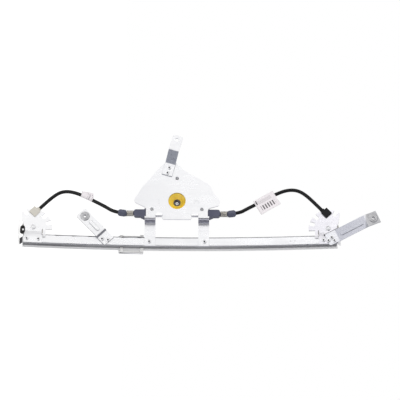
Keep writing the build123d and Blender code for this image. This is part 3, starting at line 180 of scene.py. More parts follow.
def zinc_steel(name="zinc_steel", light=(0.985, 0.985, 0.99), pale=(0.962, 0.962, 0.975), end=None,
               reach=2.0, clear=0.8, walls=None, foot=None, rim=None, rim_from=0.80, rim_to=0.96,
               matt=(), shaded=None):
    """Zinc-plated sheet: pale, cool, with faint spangle, rolling streaks and dull patches.

    end is a height along Z beyond which a patchy grey is painted, painted shade for a tilted end,
    reach how far painted shade spreads from a corner, clear the openness at which it is gone. walls
    is the colour of painted shade on faces square to X, foot a height below which the end is painted
    near black as shade, rim the colour of faces which turn away from Y, partly duller cut edges and
    partly painted shade along edges and bends. matt lists (axis, from, to) where the plating is
    chalky, and shaded is a (colour, x) for all that lies on the -X side of x.
    """
    p = Paint(name, Metallic=1.0, Roughness=0.3)
    cloud = p.noise(28.0, 4.0)
    streak = p.noise(180.0, 2.0, where=p.stretched((1.0, 1.0, 0.05)))
    spangle = p.grains(420.0)
    colour = p.mix(p.spread(cloud, 0, 1), pale, light)
    colour = p.mix(p.spread(spangle, 0.0, 0.3, 0.0, 0.8), colour, tuple(c * 0.93 for c in pale))
    normal = p.parts(p.add("ShaderNodeNewGeometry").outputs["Normal"])
    place = p.parts(p.place)
    # painted shade: above height end the colour turns a patchy grey, for a tilted end
    if end:
        painted_end_shade = p.math("MULTIPLY", p.spread(place[2], 0, 1, end - 1.5 * MM, end + 1.5 * MM),
                      p.spread(p.noise(160.0, 5.0, 0.7), 0.55, 0.95))
        colour = p.mix(painted_end_shade, colour, (0.40, 0.40, 0.41))
    # rim colour where faces turn away from Y: duller cut edges, and partly painted shade along edges and
    # bends
    if rim:
        colour = p.mix(p.spread(p.math("ABSOLUTE", normal[1]), 1, 0, rim_from, rim_to), colour, rim)
    if shaded:
        colour = p.mix(p.spread(place[0], 1, 0, shaded[1] - 0.7 * MM, shaded[1]), colour, shaded[0])
    chalk = None
    for axis, start, end in matt:
        part = p.math("MULTIPLY", p.spread(place[axis], 0, 1, start - 0.3 * MM, start),
                      p.spread(place[axis], 1, 0, end, end + 0.3 * MM))
        chalk = p.math("MAXIMUM", chalk, part) if chalk else part
    # painted shade on faces square to X, patchy, left out where the plating is chalky
    if walls:
        wall_shade_mask = p.spread(p.math("ABSOLUTE", normal[0]), 0.0, 1.0, 0.55, 0.92)
        wall_shade_patches = p.noise(60.0, 4.0, where=p.stretched((1, 1, 0.2)))
        wall_shade_mask = p.math("MULTIPLY", wall_shade_mask, p.spread(wall_shade_patches, 0.75, 1.0))
        if chalk:
            wall_shade_mask = p.math("MULTIPLY", wall_shade_mask, p.math("SUBTRACT", 1.0, chalk))
        colour = p.mix(wall_shade_mask, colour, walls)
    # painted shade: near black below height foot
    if foot:
        colour = p.mix(p.spread(place[2], 1, 0, foot - 0.5 * MM, foot), colour, (0.045, 0.045, 0.05))
    if chalk:
        colour = p.mix(chalk, colour, pale)
        p.to("Metallic", p.math("SUBTRACT", 1.0, chalk))
    # painted shade: darker where another surface is near
    crevice_shade = p.spread(p.crevice(reach * MM), 0.85, 0.0, 0.2, clear)
    colour = p.mix(crevice_shade, colour, (0.22, 0.22, 0.24))
    p.to("Base Color", colour)
    rough = p.math("ADD", p.spread(cloud, 0.24, 0.33), p.spread(streak, -0.03, 0.04))
    p.to("Roughness", rough)
    fine = p.bump(streak, 0.06, 0.2 * MM)
    p.to("Normal", p.bump(spangle, 0.04, 0.3 * MM, fine))
    return p.material


def bright_steel(name="bright_steel", dark=(0.60, 0.60, 0.62), light=(0.78, 0.78, 0.79), reach=2.5,
                 deep=0.15, clear=0.6):
    """Rivets and nuts: plated, worn, with painted shade in recesses from openness clear down to deep."""
    p = Paint(name, Metallic=1.0, Roughness=0.32)
    cloud = p.noise(300.0, 3.0)
    colour = p.mix(p.spread(cloud, 0, 1), dark, light)
    # painted shade: near black where another surface is near
    crevice_shade = p.spread(p.crevice(reach * MM), 0.97, 0.0, deep, clear)
    p.to("Base Color", p.mix(crevice_shade, colour, (0.02, 0.02, 0.022)))
    p.to("Roughness", p.spread(cloud, 0.24, 0.42))
    p.to("Normal", p.bump(cloud, 0.1, 0.2 * MM))
    return p.material


def plain_metal(name, dark, light, rough, scale, shade_strength=0.7):
    """A metal that varies between two colours, with painted shade where it is close to others."""
    p = Paint(name, Metallic=1.0, Roughness=rough)
    cloud = p.noise(scale, 4.0)
    colour = p.mix(p.spread(cloud, 0, 1), dark, light)
    # painted shade: darker where another surface is near
    crevice_shade = p.spread(p.crevice(3 * MM), shade_strength, 0.0, 0.2, 0.8)
    p.to("Base Color", p.mix(crevice_shade, colour, tuple(c * 0.2 for c in dark)))
    p.to("Roughness", p.spread(cloud, rough - 0.06, rough + 0.08))
    p.to("Normal", p.bump(cloud, 0.15, 0.2 * MM))
    return p.material


def wire_rope():
    """Steel rope, with strands that wind round it."""
    p = Paint("wire_rope", Metallic=1.0, Roughness=0.38)
    strand = p.add("ShaderNodeTexWave", {
        "Vector": p.place, "Scale": 420.0, "Distortion": 0.6}, bands_direction="DIAGONAL").outputs["Fac"]
    p.to("Base Color", p.mix(strand, (0.20, 0.20, 0.21), (0.62, 0.62, 0.63)))
    p.to("Normal", p.bump(strand, 0.6, 0.3 * MM))
    return p.material


def moulded(name, colour, shade, rough, grain=1600.0, depth=0.12, coat=0.0, gloss=0.5, shade_strength=0.45):
    """Moulded plastic: one colour with a soft drift, fine grain and painted shade in its corners."""
    p = Paint(name, Roughness=rough, Coat_Weight=coat, Coat_Roughness=0.2, Specular_IOR_Level=gloss)
    drift = p.noise(45.0, 3.0)
    grit = p.noise(grain, 2.0)
    base = p.mix(p.spread(drift, 0, 1), colour, shade)
    # painted shade: darker where another surface is near
    corner_shade = p.spread(p.crevice(3 * MM), shade_strength, 0.0, 0.3, 0.9)
    p.to("Base Color", p.mix(corner_shade, base, tuple(c * 0.45 for c in shade)))
    p.to("Roughness", p.spread(drift, rough - 0.05, rough + 0.07))
    p.to("Normal", p.bump(grit, depth, 0.15 * MM))
    return p.material


def amber_plastic():
    """Glossy amber acetal that lets a little light through."""
    p = Paint("amber_plastic", Roughness=0.24, Subsurface_Weight=0.1, Subsurface_Scale=0.002,
              Coat_Weight=0.4, Coat_Roughness=0.1)
    p.shader.inputs["Subsurface Radius"].default_value = (1.0, 0.45, 0.12)
    drift = p.noise(60.0, 2.0)
    base = p.mix(p.spread(drift, 0, 1), (1.0, 0.66, 0.055), (1.0, 0.72, 0.09))
    shade = p.spread(p.crevice(4 * MM), 0.6, 0.0, 0.05, 0.45)
    p.to("Base Color", p.mix(shade, base, (0.55, 0.20, 0.015)))
    p.to("Normal", p.bump(p.noise(900.0, 2.0), 0.05, 0.1 * MM))
    return p.material


def conduit_black():
    """Extruded sheath with a satin skin and faint rub marks."""
    p = Paint("conduit_black", Roughness=0.42, Specular_IOR_Level=0.28)
    rub = p.noise(90.0, 5.0, 0.65)
    grit = p.noise(2200.0, 2.0)
    p.to("Base Color", p.mix(p.spread(rub, 0, 1, 0.5, 0.8), (0.006, 0.006, 0.0065), (0.018, 0.018, 0.018)))
    p.to("Roughness", p.spread(rub, 0.34, 0.52))
    p.to("Normal", p.bump(grit, 0.12, 0.1 * MM))
    return p.material


def paper(name, marks):
    """Coated paper, faintly pink, with plain grey bars worked out from its own UV map.

    A mark is (u from, u to, v from, v to, bars, ink's share of a bar, colour). bars is how many would
    fit from u 0 to u 1, or from v 0 to v 1 where it is negative.
    """
    p = Paint(name, Roughness=0.55, Sheen_Weight=0.1)
    fibre = p.noise(900.0, 4.0)
    colour = p.mix(p.spread(fibre, 0, 1), (0.90, 0.845, 0.875), (0.94, 0.90, 0.925))
    uv = p.parts(p.add("ShaderNodeTexCoord").outputs["UV"])
    for u0, u1, v0, v1, bars, share, grey in marks:
        across = p.math("FRACT", p.math("MULTIPLY", uv[0] if bars > 0 else uv[1], abs(float(bars))))
        ink = p.math("LESS_THAN", across, share)
        for socket, low, high in ((uv[0], u0, u1), (uv[1], v0, v1)):
            ink = p.math("MULTIPLY", ink, p.math("GREATER_THAN", socket, low))
            ink = p.math("MULTIPLY", ink, p.math("LESS_THAN", socket, high))
        colour = p.mix(ink, colour, grey)
    p.to("Base Color", colour)
    p.to("Normal", p.bump(fibre, 0.12, 0.1 * MM))
    return p.material


BLUE_GREY = (0.095, 0.100, 0.150)
PAINTS = {
    "zinc_steel": zinc_steel(),
    "bright_steel": bright_steel(),
    "wire_rope": wire_rope(),
    "yellow_zinc": plain_metal("yellow_zinc", (0.56, 0.53, 0.48), (0.80, 0.77, 0.70), 0.28, 260.0),
    "dark_steel": plain_metal("dark_steel", (0.11, 0.11, 0.12), (0.22, 0.22, 0.24), 0.42, 400.0),
    "amber_plastic": amber_plastic(),
    "blue_grey_plastic": moulded("blue_grey_plastic", BLUE_GREY, (0.075, 0.080, 0.125), 0.44),
    "conduit_black": conduit_black(),
    "black_plastic": moulded("black_plastic", (0.009, 0.009, 0.0105), (0.006, 0.006, 0.0065), 0.45,
                             gloss=0.25),
    "cream_plastic": moulded("cream_plastic", (0.72, 0.69, 0.62), (0.64, 0.61, 0.54), 0.38, coat=0.1),
    "natural_plastic": moulded("natural_plastic", (0.80, 0.79, 0.75), (0.74, 0.72, 0.67), 0.36, coat=0.1),
    "white_plastic": moulded("white_plastic", (0.93, 0.925, 0.92), (0.88, 0.875, 0.87), 0.40, coat=0.1,
                             shade_strength=0.25),
    "black_rubber": moulded("black_rubber", (0.020, 0.020, 0.020), (0.012, 0.012, 0.012), 0.75, 1200.0,
                            0.3, gloss=0.25),
    "tie_black": moulded("tie_black", (0.018, 0.018, 0.019), (0.012, 0.012, 0.012), 0.35),
    "paper": paper("paper", []),
}
RIVET_STEEL = bright_steel("rivet_steel", (0.93, 0.93, 0.94), (0.975, 0.975, 0.98), 3.0, 0.42, 0.62)
SLEEVE_STEEL = plain_metal("sleeve_steel", (0.90, 0.90, 0.90), (0.96, 0.96, 0.96), 0.2, 300.0, 0.0)
RIVET_STEEL_NODES = ("lower_pulley_axle", "upper_pulley_axle", "leg_rivets", "lower_plate_rivets",
                     "lower_bracket_rivets", "upper_plate_rivets", "top_bracket_rivets")
# chalky zones of the plating: axis, from, to
FAN_STEP = (0, 55.8 * MM, 64.9 * MM)  # where the fans step down to the rail
RAIL_LIP = (0, 76.2 * MM, 100 * MM)
RAIL_TOP_END = (2, 271.3 * MM, 300 * MM)
RAIL_FOOT_Z = -260.6 * MM  # painted shade: the rail is painted near black below this
RAIL_BEND_X = 60.9 * MM  # and shaded on the -X side of this
NODE_PAINTS = {
    # painted shade: dark walls square to X and a near black end on the rail, paler painted shade on the
    # plate's walls
    "guide_rail": zinc_steel("rail_zinc", reach=0.8, walls=(0.15, 0.15, 0.165), foot=RAIL_FOOT_Z,
                             matt=[RAIL_LIP, RAIL_TOP_END], shaded=((0.34, 0.34, 0.36), RAIL_BEND_X)),
    "motor_plate": zinc_steel("plate_zinc", walls=(0.60, 0.60, 0.69), rim=(0.72, 0.72, 0.76), rim_from=0.2),
    "lower_pulley_plate": zinc_steel("fan_zinc", rim=(0.40, 0.40, 0.42), matt=[FAN_STEP]),
    # a greyer, lavender copy of the fan zinc: painted shade for the upper fan
    "upper_pulley_plate": zinc_steel("fan_zinc_shaded", (0.93, 0.92, 0.955), (0.90, 0.885, 0.93),
                                     rim=(0.36, 0.36, 0.38), matt=[FAN_STEP]),
    "lower_bracket": zinc_steel("strap_zinc", reach=3.0, clear=0.98, rim=(0.36, 0.36, 0.39)),
    "top_bracket": zinc_steel("top_zinc", rim=(0.50, 0.52, 0.58), rim_from=0.86, rim_to=0.95),
    # a darker, lavender copy of the zinc: painted shade for the bracket's sloping part, and painted grey
    # shade beyond its end height
    "upper_bracket": zinc_steel("bracket_zinc_shaded", (0.90, 0.90, 0.93), (0.84, 0.845, 0.88), 0.3195),
    "clinch_nuts": bright_steel("nut_steel", (0.46, 0.46, 0.47), (0.66, 0.66, 0.67), 3.0),
    "motor_inserts": SLEEVE_STEEL,
    **dict.fromkeys(RIVET_STEEL_NODES, RIVET_STEEL),
}
WRAP_PAPER = paper("wrap_paper", [
    (0.26, 0.36, 0.06, 0.44, -23.0, 0.66, (0.30, 0.29, 0.31)),
    (0.44, 0.50, 0.03, 0.42, -23.0, 0.6, (0.48, 0.46, 0.48)),
    (0.05, 0.12, 0.05, 0.40, -17.0, 0.6, (0.42, 0.40, 0.42))])
TAG_PAPER = paper("tag_paper", [
    (0.16, 0.86, 0.18, 0.50, 8.2, 0.52, (0.19, 0.18, 0.185)),
    (0.16, 0.80, 0.62, 0.84, -17.0, 0.42, (0.56, 0.53, 0.55))])


# ---------------------------------------------------------------- CAD nodes
# width of the rounded edges of a material slot, in millimetres
BEVELS = {"zinc_steel": 0.5, "bright_steel": 0.2, "blue_grey_plastic": 0.6, "black_plastic": 0.6,
          "cream_plastic": 0.6, "white_plastic": 0.5, "natural_plastic": 0.3, "black_rubber": 0.6,
          "amber_plastic": 0.3}
EDGE_ANGLE = math.radians(35)  # faces that meet more sharply have an edge to round
FLAT_ANGLE = math.radians(0.4)  # faces that meet more flatly count as one
RAIL_FLAT_ANGLE = math.radians(0.02)  # less, to keep the faces of the rail's curved web


def shade_smooth(mesh):
    mesh.polygons.foreach_set("use_smooth", [True] * len(mesh.polygons))


def weld_points(piece):
    """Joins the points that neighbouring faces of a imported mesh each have."""
    piece.modifiers.new("weld", "WELD").merge_threshold = WELD_DISTANCE


def dress(node, slot):
    """Gives a CAD node its material, rounded edges and smooth shading."""
    piece = frame["nodes"][node]
    piece.data.materials.clear()
    piece.data.materials.append(NODE_PAINTS.get(node) or PAINTS[slot])
    smooth_edges(piece, slot, RAIL_FLAT_ANGLE if node == "guide_rail" else FLAT_ANGLE)


def smooth_edges(piece, slot, flat_angle=FLAT_ANGLE):
    """Smooth shading, and rounded edges where the slot has a width for them."""
    shade_smooth(piece.data)
    weld_points(piece)
    if slot in BEVELS:
        flat = piece.modifiers.new("flat", "DECIMATE")
        flat.decimate_type = "DISSOLVE"
        flat.angle_limit = flat_angle
        edge = piece.modifiers.new("edge", "BEVEL")
        edge.width = BEVELS[slot] * MM
        edge.segments = 2
        edge.limit_method = "ANGLE"
        edge.angle_limit = EDGE_ANGLE
    normals = piece.modifiers.new("normals", "WEIGHTED_NORMAL")
    normals.keep_sharp = False
    normals.weight = NORMAL_WEIGHT


# ---------------------------------------------------------------- conduits
CONDUIT_R = 3.0 * MM
CONDUIT_ROUTES = {  # the route's points in part.py, in millimetres
    "lower": [(19.77, 7.4, -91.96), (17.62, 7.4, -107.31), (8.6, 7.9, -121.5), (-0.6, 8.4, -138.5),
              (-9.6, 8.9, -156.0), (-17.2, 9.4, -173.5), (-20.0, 9.9, -190.0), (-15.5, 10.3, -205.0),
              (6.2, 11.61, -229.21), (17.72, 10.31, -239.49)],
    "upper": [(19.77, 9.4, 91.96), (17.62, 9.4, 107.31), (11.3, 9.3, 118.0), (2.3, 9.2, 134.8),
              (-7.4, 9.1, 152.0), (-16.6, 9.0, 169.5), (-23.4, 9.1, 186.5), (-24.0, 9.4, 203.5),
              (-16.0, 9.8, 219.0), (6.2, 11.79, 241.7), (17.72, 10.49, 251.99)],
}


def add_piece(name, data, material, body, replaced):
    """Object with one material that rides a body and stands for CAD nodes."""
    piece = new_object(name, data)
    data.materials.append(material)
    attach(piece, body)
    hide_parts(*replaced)
    return piece


def nurbs(name, points, radius, sides=6):
    """A tube along a smooth spline with these control points, in metres."""
    curve = bpy.data.curves.new(name, "CURVE")
    curve.dimensions = "3D"
    spline = curve.splines.new("NURBS")
    spline.points.add(len(points) - 1)
    for point, place in zip(spline.points, points):
        point.co = (*place, 1.0)
    spline.order_u = 3
    spline.use_endpoint_u = True
    spline.resolution_u = 16
    curve.bevel_depth = radius
    curve.bevel_resolution = sides
    curve.use_fill_caps = True
    return curve


def conduit(side):
    """Sheath of a cable, from the housing's collar to the end fitting on its fan."""
    points = [Vector(p) * MM for p in CONDUIT_ROUTES[side]]
    name = side + "_sheath"
    add_piece(name, nurbs(name, points, CONDUIT_R, 8), PAINTS["conduit_black"],
              STATIC_BODY, [side + "_conduit"])


# ---------------------------------------------------------------- springs
SPRING_WIRE_R = 0.75 * MM
SPRING_TURNS = 6.5
SPRING_CLOSED = 0.75  # turns at each end that lie wire on wire
SPRING_STEPS = 14  # points in a turn


def tension_spring(side):
    """Coil spring between the housing's block and the collar, closed at both ends."""
    node = side + "_tension_spring"
    low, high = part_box(node)
    centre = (low + high) / 2
    radius = (high.x - low.x) / 2 - SPRING_WIRE_R
    start, end = low.z + SPRING_WIRE_R, high.z - SPRING_WIRE_R
    wire = SPRING_WIRE_R * 2
    open_turns = SPRING_TURNS - 2 * SPRING_CLOSED
    open_length = end - start - 2 * SPRING_CLOSED * wire
    points = []
    for i in range(round(SPRING_TURNS * SPRING_STEPS) + 1):
        turn = i / SPRING_STEPS
        opened = min(max((turn - SPRING_CLOSED) / open_turns, 0.0), 1.0)
        closed = wire * (min(turn, SPRING_CLOSED) + max(turn - SPRING_TURNS + SPRING_CLOSED, 0))
        angle = 2 * math.pi * turn
        points.append(Vector((centre.x + radius * math.cos(angle), centre.y + radius * math.sin(angle),
                              start + closed + open_length * opened)))
    name = side + "_coil_spring"
    add_piece(name, nurbs(name, points, SPRING_WIRE_R, 4), PAINTS["yellow_zinc"],
              STATIC_BODY, [node])


# ---------------------------------------------------------------- labels
LABEL_Z = (-143.6 * MM, -163.0 * MM)  # the flag's two ends on the lower conduit
LABEL_REACH = (12.2 * MM, 7.4 * MM)  # how far it stands off the conduit's axis at each end
LABEL_LEAN = (5.0 * MM, 2.2 * MM)  # how far its free edge lies further down the conduit
LABEL_R = CONDUIT_R + 0.25 * MM
LABEL_STEPS = 12
LABEL_LOOP = (-30, -330, 14)  # the strip's way round the conduit: degrees from, to, steps
LABEL_THICKNESS = 0.18 * MM
LABEL_WAVE = 0.35 * MM
TAG_CENTRE = Vector((0.7, 5.75, 153.0)) * MM
TAG_TILT = math.radians(30.5)
TAG_SIZE = (38.5 * MM, 28.0 * MM)  # along the conduit and across it
TAG_THICKNESS = 0.35 * MM
TAG_LIFT = 2.2 * MM  # how far the free edge curls forward
TAG_CURL_FROM = 0.45  # share of the width where the curl starts
TAG_BULGE = 0.5 * MM
TAG_STEPS = 16


def route_line(side):
    """Points of a conduit's own spline, in metres."""
    curve = nurbs(side + "_line", [Vector(p) * MM for p in CONDUIT_ROUTES[side]], 0.0)
    holder = new_object(curve.name, curve)
    mesh = bpy.data.meshes.new_from_object(holder)
    points = [vertex.co.copy() for vertex in mesh.vertices]
    bpy.data.objects.remove(holder)
    bpy.data.curves.remove(curve)
    bpy.data.meshes.remove(mesh)
    return points


def at_height(points, z):
    """Point and direction of a line of points where it passes height z."""
    for a, b in zip(points, points[1:]):
        if (a.z - z) * (b.z - z) <= 0 and a.z != b.z:
            return a.lerp(b, (z - a.z) / (b.z - a.z)), (b - a).normalized()
    raise ValueError("the line does not pass that height")


def paper_sheet(name, rows, material, node, thickness):
    """Thin sheet through rows of points, with u 0 to 1 over the rows and v 0 to 1 along each."""
    count = len(rows[0])
    faces = [(i * count + j, i * count + j + 1, (i + 1) * count + j + 1, (i + 1) * count + j)
             for i in range(len(rows) - 1) for j in range(count - 1)]
    mesh = bpy.data.meshes.new(name)
    mesh.from_pydata([point for row in rows for point in row], [], faces)
    uv = mesh.uv_layers.new(name="UVMap")
    for loop in mesh.loops:
        i, j = divmod(loop.vertex_index, count)
        uv.data[loop.index].uv = (i / (len(rows) - 1), j / (count - 1))
    shade_smooth(mesh)
    piece = add_piece(name, mesh, material, STATIC_BODY, [node])
    body = piece.modifiers.new("thickness", "SOLIDIFY")
    body.thickness = thickness
    body.offset = 0.0


def flag_label():
    """Paper strip folded round the lower conduit, its two ends stuck together as a flag."""
    line = route_line("lower")
    loop_from, loop_to, loop_steps = LABEL_LOOP
    rows = []
    for i in range(LABEL_STEPS + 1):
        share = i / LABEL_STEPS
        centre, along = at_height(line, LABEL_Z[0] + (LABEL_Z[1] - LABEL_Z[0]) * share)
        out = along.cross(Vector((0, 1, 0))).normalized()
        if out.x > 0:
            out = -out
        depth = along.cross(out).normalized()
        if depth.y > 0:
            depth = -depth
        reach = LABEL_REACH[0] + (LABEL_REACH[1] - LABEL_REACH[0]) * share
        section = [(reach, -0.12), (reach * 0.8, -0.22), (reach * 0.6, -0.16), (4.6 * MM, -0.4)]
        section = [(r, d * MM) for r, d in section]
        for k in range(loop_steps + 1):
            angle = math.radians(loop_from + (loop_to - loop_from) * k / loop_steps)
            section.append((LABEL_R * math.cos(angle), LABEL_R * math.sin(angle)))
        section += [(r, -d) for r, d in reversed(section[:4])]
        wave = LABEL_WAVE * math.sin(share * 5.0)
        lean = LABEL_LEAN[0] + (LABEL_LEAN[1] - LABEL_LEAN[0]) * share
        rows.append([centre + out * r - depth * (d + wave * max(r / reach - 0.4, 0))
                     + along * lean * max((r - LABEL_R) / (reach - LABEL_R), 0) for r, d in section])
    paper_sheet("flag_label", rows, WRAP_PAPER, "conduit_label", LABEL_THICKNESS)


def tag_card():
    """Card tied to the upper conduit, its free edge curled forward."""
    along = Vector((-math.sin(TAG_TILT), 0, math.cos(TAG_TILT)))
    across = Vector((math.cos(TAG_TILT), 0, math.sin(TAG_TILT)))
    rows = []
    for i in range(TAG_STEPS + 1):
        row = []
        for j in range(TAG_STEPS + 1):
            u, v = i / TAG_STEPS, 1 - j / TAG_STEPS
            curl = max(v - TAG_CURL_FROM, 0) / (1 - TAG_CURL_FROM)
            lift = TAG_LIFT * curl ** 2 * (0.55 + 0.45 * u)
            lift += TAG_BULGE * math.sin(math.pi * u) * v
            row.append(TAG_CENTRE + along * (u - 0.5) * TAG_SIZE[0] + across * (v - 0.5) * TAG_SIZE[1]
                       - Vector((0, lift, 0)))
        rows.append(row)
    paper_sheet("tag_card", rows, TAG_PAPER, "hang_tag", TAG_THICKNESS)


# ---------------------------------------------------------------- moulded housing
# in millimetres
ARM_BACK_Y = 14.0  # outboard face of the arms
SHELL_BACK_Y = 18.8  # outboard face of the round floor
SHELL_BORE_R = 9.6
SHELL_R = 25.4
RIM_WIDTH = 1.6
RIM_RISE = 1.2
RIB_WIDTH = 1.4
RIB_RISE = 0.9
RIB_OVERLAP = 0.3  # how far a rib runs into the rim
RIB_MARGIN = 0.7  # how far it ends inside the floor's edge
RIB_COUNT = 12
SINK = 0.4  # how deep a rim or rib starts in the floor that it stands on
NOTCH_CUT = ((-36.3, 24.3, 1.5), (36.3, 40.0, 16.0))  # (z, x, y) corners of the room between the legs
# pockets are z, x, z, x; those of the arms are on both sides
POCKETS = [(28.8, 11.0, 34.4, 22.0), (50.6, 13.0, 54.6, 24.0), (38.0, 23.4, 48.6, 27.2)]
SPOKE_POCKET = (-4.6, -32.4, 4.6, -28.2)
POCKET_FLOOR_Y = 11.6
BOX_FACES = ((0, 1, 3, 2), (4, 6, 7, 5), (0, 4, 5, 1), (2, 3, 7, 6), (0, 2, 6, 4), (1, 5, 7, 3))


def turned(mesh, profile, z=0.0, x=0.0, steps=64):
    """Adds to a bmesh a closed ring or disc along Y at (z, x), from (radius, y) points in millimetres."""
    rings = []
    for r, y in profile:
        if r == 0:
            rings.append([mesh.verts.new((x * MM, y * MM, z * MM))] * steps)
            continue
        rings.append([mesh.verts.new(((x + r * math.cos(a)) * MM, y * MM, (z + r * math.sin(a)) * MM))
                      for a in (2 * math.pi * i / steps for i in range(steps))])
    closed = profile[0][0] > 0
    for one, two in zip(rings, rings[1:] + (rings[:1] if closed else [])):
        for i in range(steps):
            corners = [one[i], one[(i + 1) % steps], two[(i + 1) % steps], two[i]]
            corners = [c for k, c in enumerate(corners) if c not in corners[:k]]
            if len(corners) > 2:
                mesh.faces.new(corners)


def box(mesh, low, high, turn=0.0):
    """Adds to a bmesh a box between two (z, x, y) corners in millimetres, turned about the Y axis."""
    turn = Matrix.Rotation(turn, 3, "Y")
    points = [mesh.verts.new(turn @ Vector((x, y, z)) * MM)
              for z in (low[0], high[0]) for x in (low[1], high[1]) for y in (low[2], high[2])]
    for face in BOX_FACES:
        mesh.faces.new([points[i] for i in face])


def solid(name, mesh):
    """Object from a bmesh, with its faces turned outwards."""
    bmesh.ops.recalc_face_normals(mesh, faces=mesh.faces)
    data = bpy.data.meshes.new(name)
    mesh.to_mesh(data)
    mesh.free()
    return new_object(name, data)


def carved(node, steps):
    """Copy of a CAD node's mesh after boolean steps of (operation, cutter)."""
    holder = new_object(node + "_work", frame["nodes"][node].data.copy())
    weld_points(holder)
    for operation, cutter in steps:
        step = holder.modifiers.new("step", "BOOLEAN")
        step.operation = operation
        step.object = cutter
        step.solver = "EXACT"
        step.use_self = True
    bpy.context.view_layer.update()
    mesh = bpy.data.meshes.new_from_object(holder.evaluated_get(bpy.context.evaluated_depsgraph_get()))
    bpy.data.objects.remove(holder)
    for operation, cutter in steps:
        bpy.data.objects.remove(cutter)
    return mesh


def housing_shell():
    """Drum housing with the room between the legs, pockets in its arms and ribs on its back."""
    cut = bmesh.new()
    box(cut, *NOTCH_CUT)
    mirrored = [(-z1, x0, -z0, x1) for z0, x0, z1, x1 in POCKETS]
    for z0, x0, z1, x1 in POCKETS + mirrored + [SPOKE_POCKET]:
        box(cut, (z0, x0, POCKET_FLOOR_Y), (z1, x1, ARM_BACK_Y + 1))
    rim = bmesh.new()
    rim_r, foot_y, top_y = SHELL_BORE_R + RIM_WIDTH, SHELL_BACK_Y - SINK, SHELL_BACK_Y + RIM_RISE
    turned(rim, [(SHELL_BORE_R, foot_y), (rim_r, foot_y), (rim_r, top_y), (SHELL_BORE_R, top_y)])
    ribs = bmesh.new()
    low = (-RIB_WIDTH / 2, rim_r - RIB_OVERLAP, foot_y)
    high = (RIB_WIDTH / 2, SHELL_R - RIB_MARGIN, SHELL_BACK_Y + RIB_RISE)
    for i in range(RIB_COUNT):
        box(ribs, low, high, 2 * math.pi * (i + 0.5) / RIB_COUNT)
    mesh = carved("drum_housing", [("DIFFERENCE", solid("cut", cut)), ("UNION", solid("rim", rim)),
                                   ("UNION", solid("ribs", ribs))])
    mesh.materials.clear()
    shell = add_piece("housing_shell", mesh, PAINTS["blue_grey_plastic"], STATIC_BODY,
                      ["drum_housing"])
    smooth_edges(shell, "blue_grey_plastic")


# ---------------------------------------------------------------- small steel pieces
# in millimetres; the rail's arc and the upper pulley's height are part.py's
RAIL_RADIUS = 2000.0
RAIL_MID_Z = 7.0
RAIL_FACE_Y = 19.5
PULLEY_HIGH_Z = 256.8
SLEEVES = ((-42.4, 15.3), (42.4, 15.3), (0, -40.7))  # z, x
SLEEVE_STEPS = 32
# outlines of round pieces are radius, y
SLEEVE_END = [(0, 12.3), (3.2, 12.3), (3.2, 12.9), (0, 12.9)]
PIN_END = [(0, 13.3), (0.9, 13.3), (1.1, 13.0), (2.5, 12.9), (3.2, 13.2), (3.2, 13.95), (0, 13.95)]
GUSSET_OUTLINE = [(51.75, 9.6), (51.75, -7.6), (59.2, -7.6), (58.6, -5.9)]  # x, along the rail
GUSSET_DEPTHS = (-5.28, -3.32)  # its two faces, from the web's face


def bright_piece(name, mesh, body):
    """Bright metal piece from a bmesh, riding a body."""
    piece = solid(name, mesh)
    piece.data.materials.append(SLEEVE_STEEL)
    shade_smooth(piece.data)
    piece.modifiers.new("normals", "WEIGHTED_NORMAL").weight = NORMAL_WEIGHT
    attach(piece, body)


def sleeve_ends():
    """Closed ends of the three threaded sleeves."""
    ends = bmesh.new()
    for z, x in SLEEVES:
        turned(ends, SLEEVE_END, z, x, SLEEVE_STEPS)
    bright_piece("sleeve_ends", ends, STATIC_BODY)


def insert_disc():
    """Bright end of the drum's bearing pin, at the bottom of the splined insert."""
    disc = bmesh.new()
    turned(disc, PIN_END)
    bright_piece("pin_end", disc, "drum")


def rail_point(x, depth, t, height):
    """Point of a flat piece set on the rail at a height: depth from the web's face, t along the rail."""
    angle = math.asin((height - RAIL_MID_Z) / RAIL_RADIUS)
    along, inwards = math.sin(angle), math.cos(angle)
    return Vector((x, RAIL_FACE_Y - RAIL_RADIUS + (RAIL_RADIUS + depth) * inwards - t * along,
                   RAIL_MID_Z + (RAIL_RADIUS + depth) * along + t * inwards)) * MM


def gusset():
    """Small web of the upper plate between its fan and the strap."""
    mesh = bmesh.new()
    near, far = ([mesh.verts.new(rail_point(x, depth, t, PULLEY_HIGH_Z)) for x, t in GUSSET_OUTLINE]
                 for depth in GUSSET_DEPTHS)
    mesh.faces.new(near)
    mesh.faces.new(far)
    for i in range(len(GUSSET_OUTLINE)):
        k = (i + 1) % len(GUSSET_OUTLINE)
        mesh.faces.new([near[i], near[k], far[k], far[i]])
    piece = solid("upper_gusset", mesh)
    piece.data.materials.append(NODE_PAINTS["upper_pulley_plate"])
    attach(piece, STATIC_BODY)


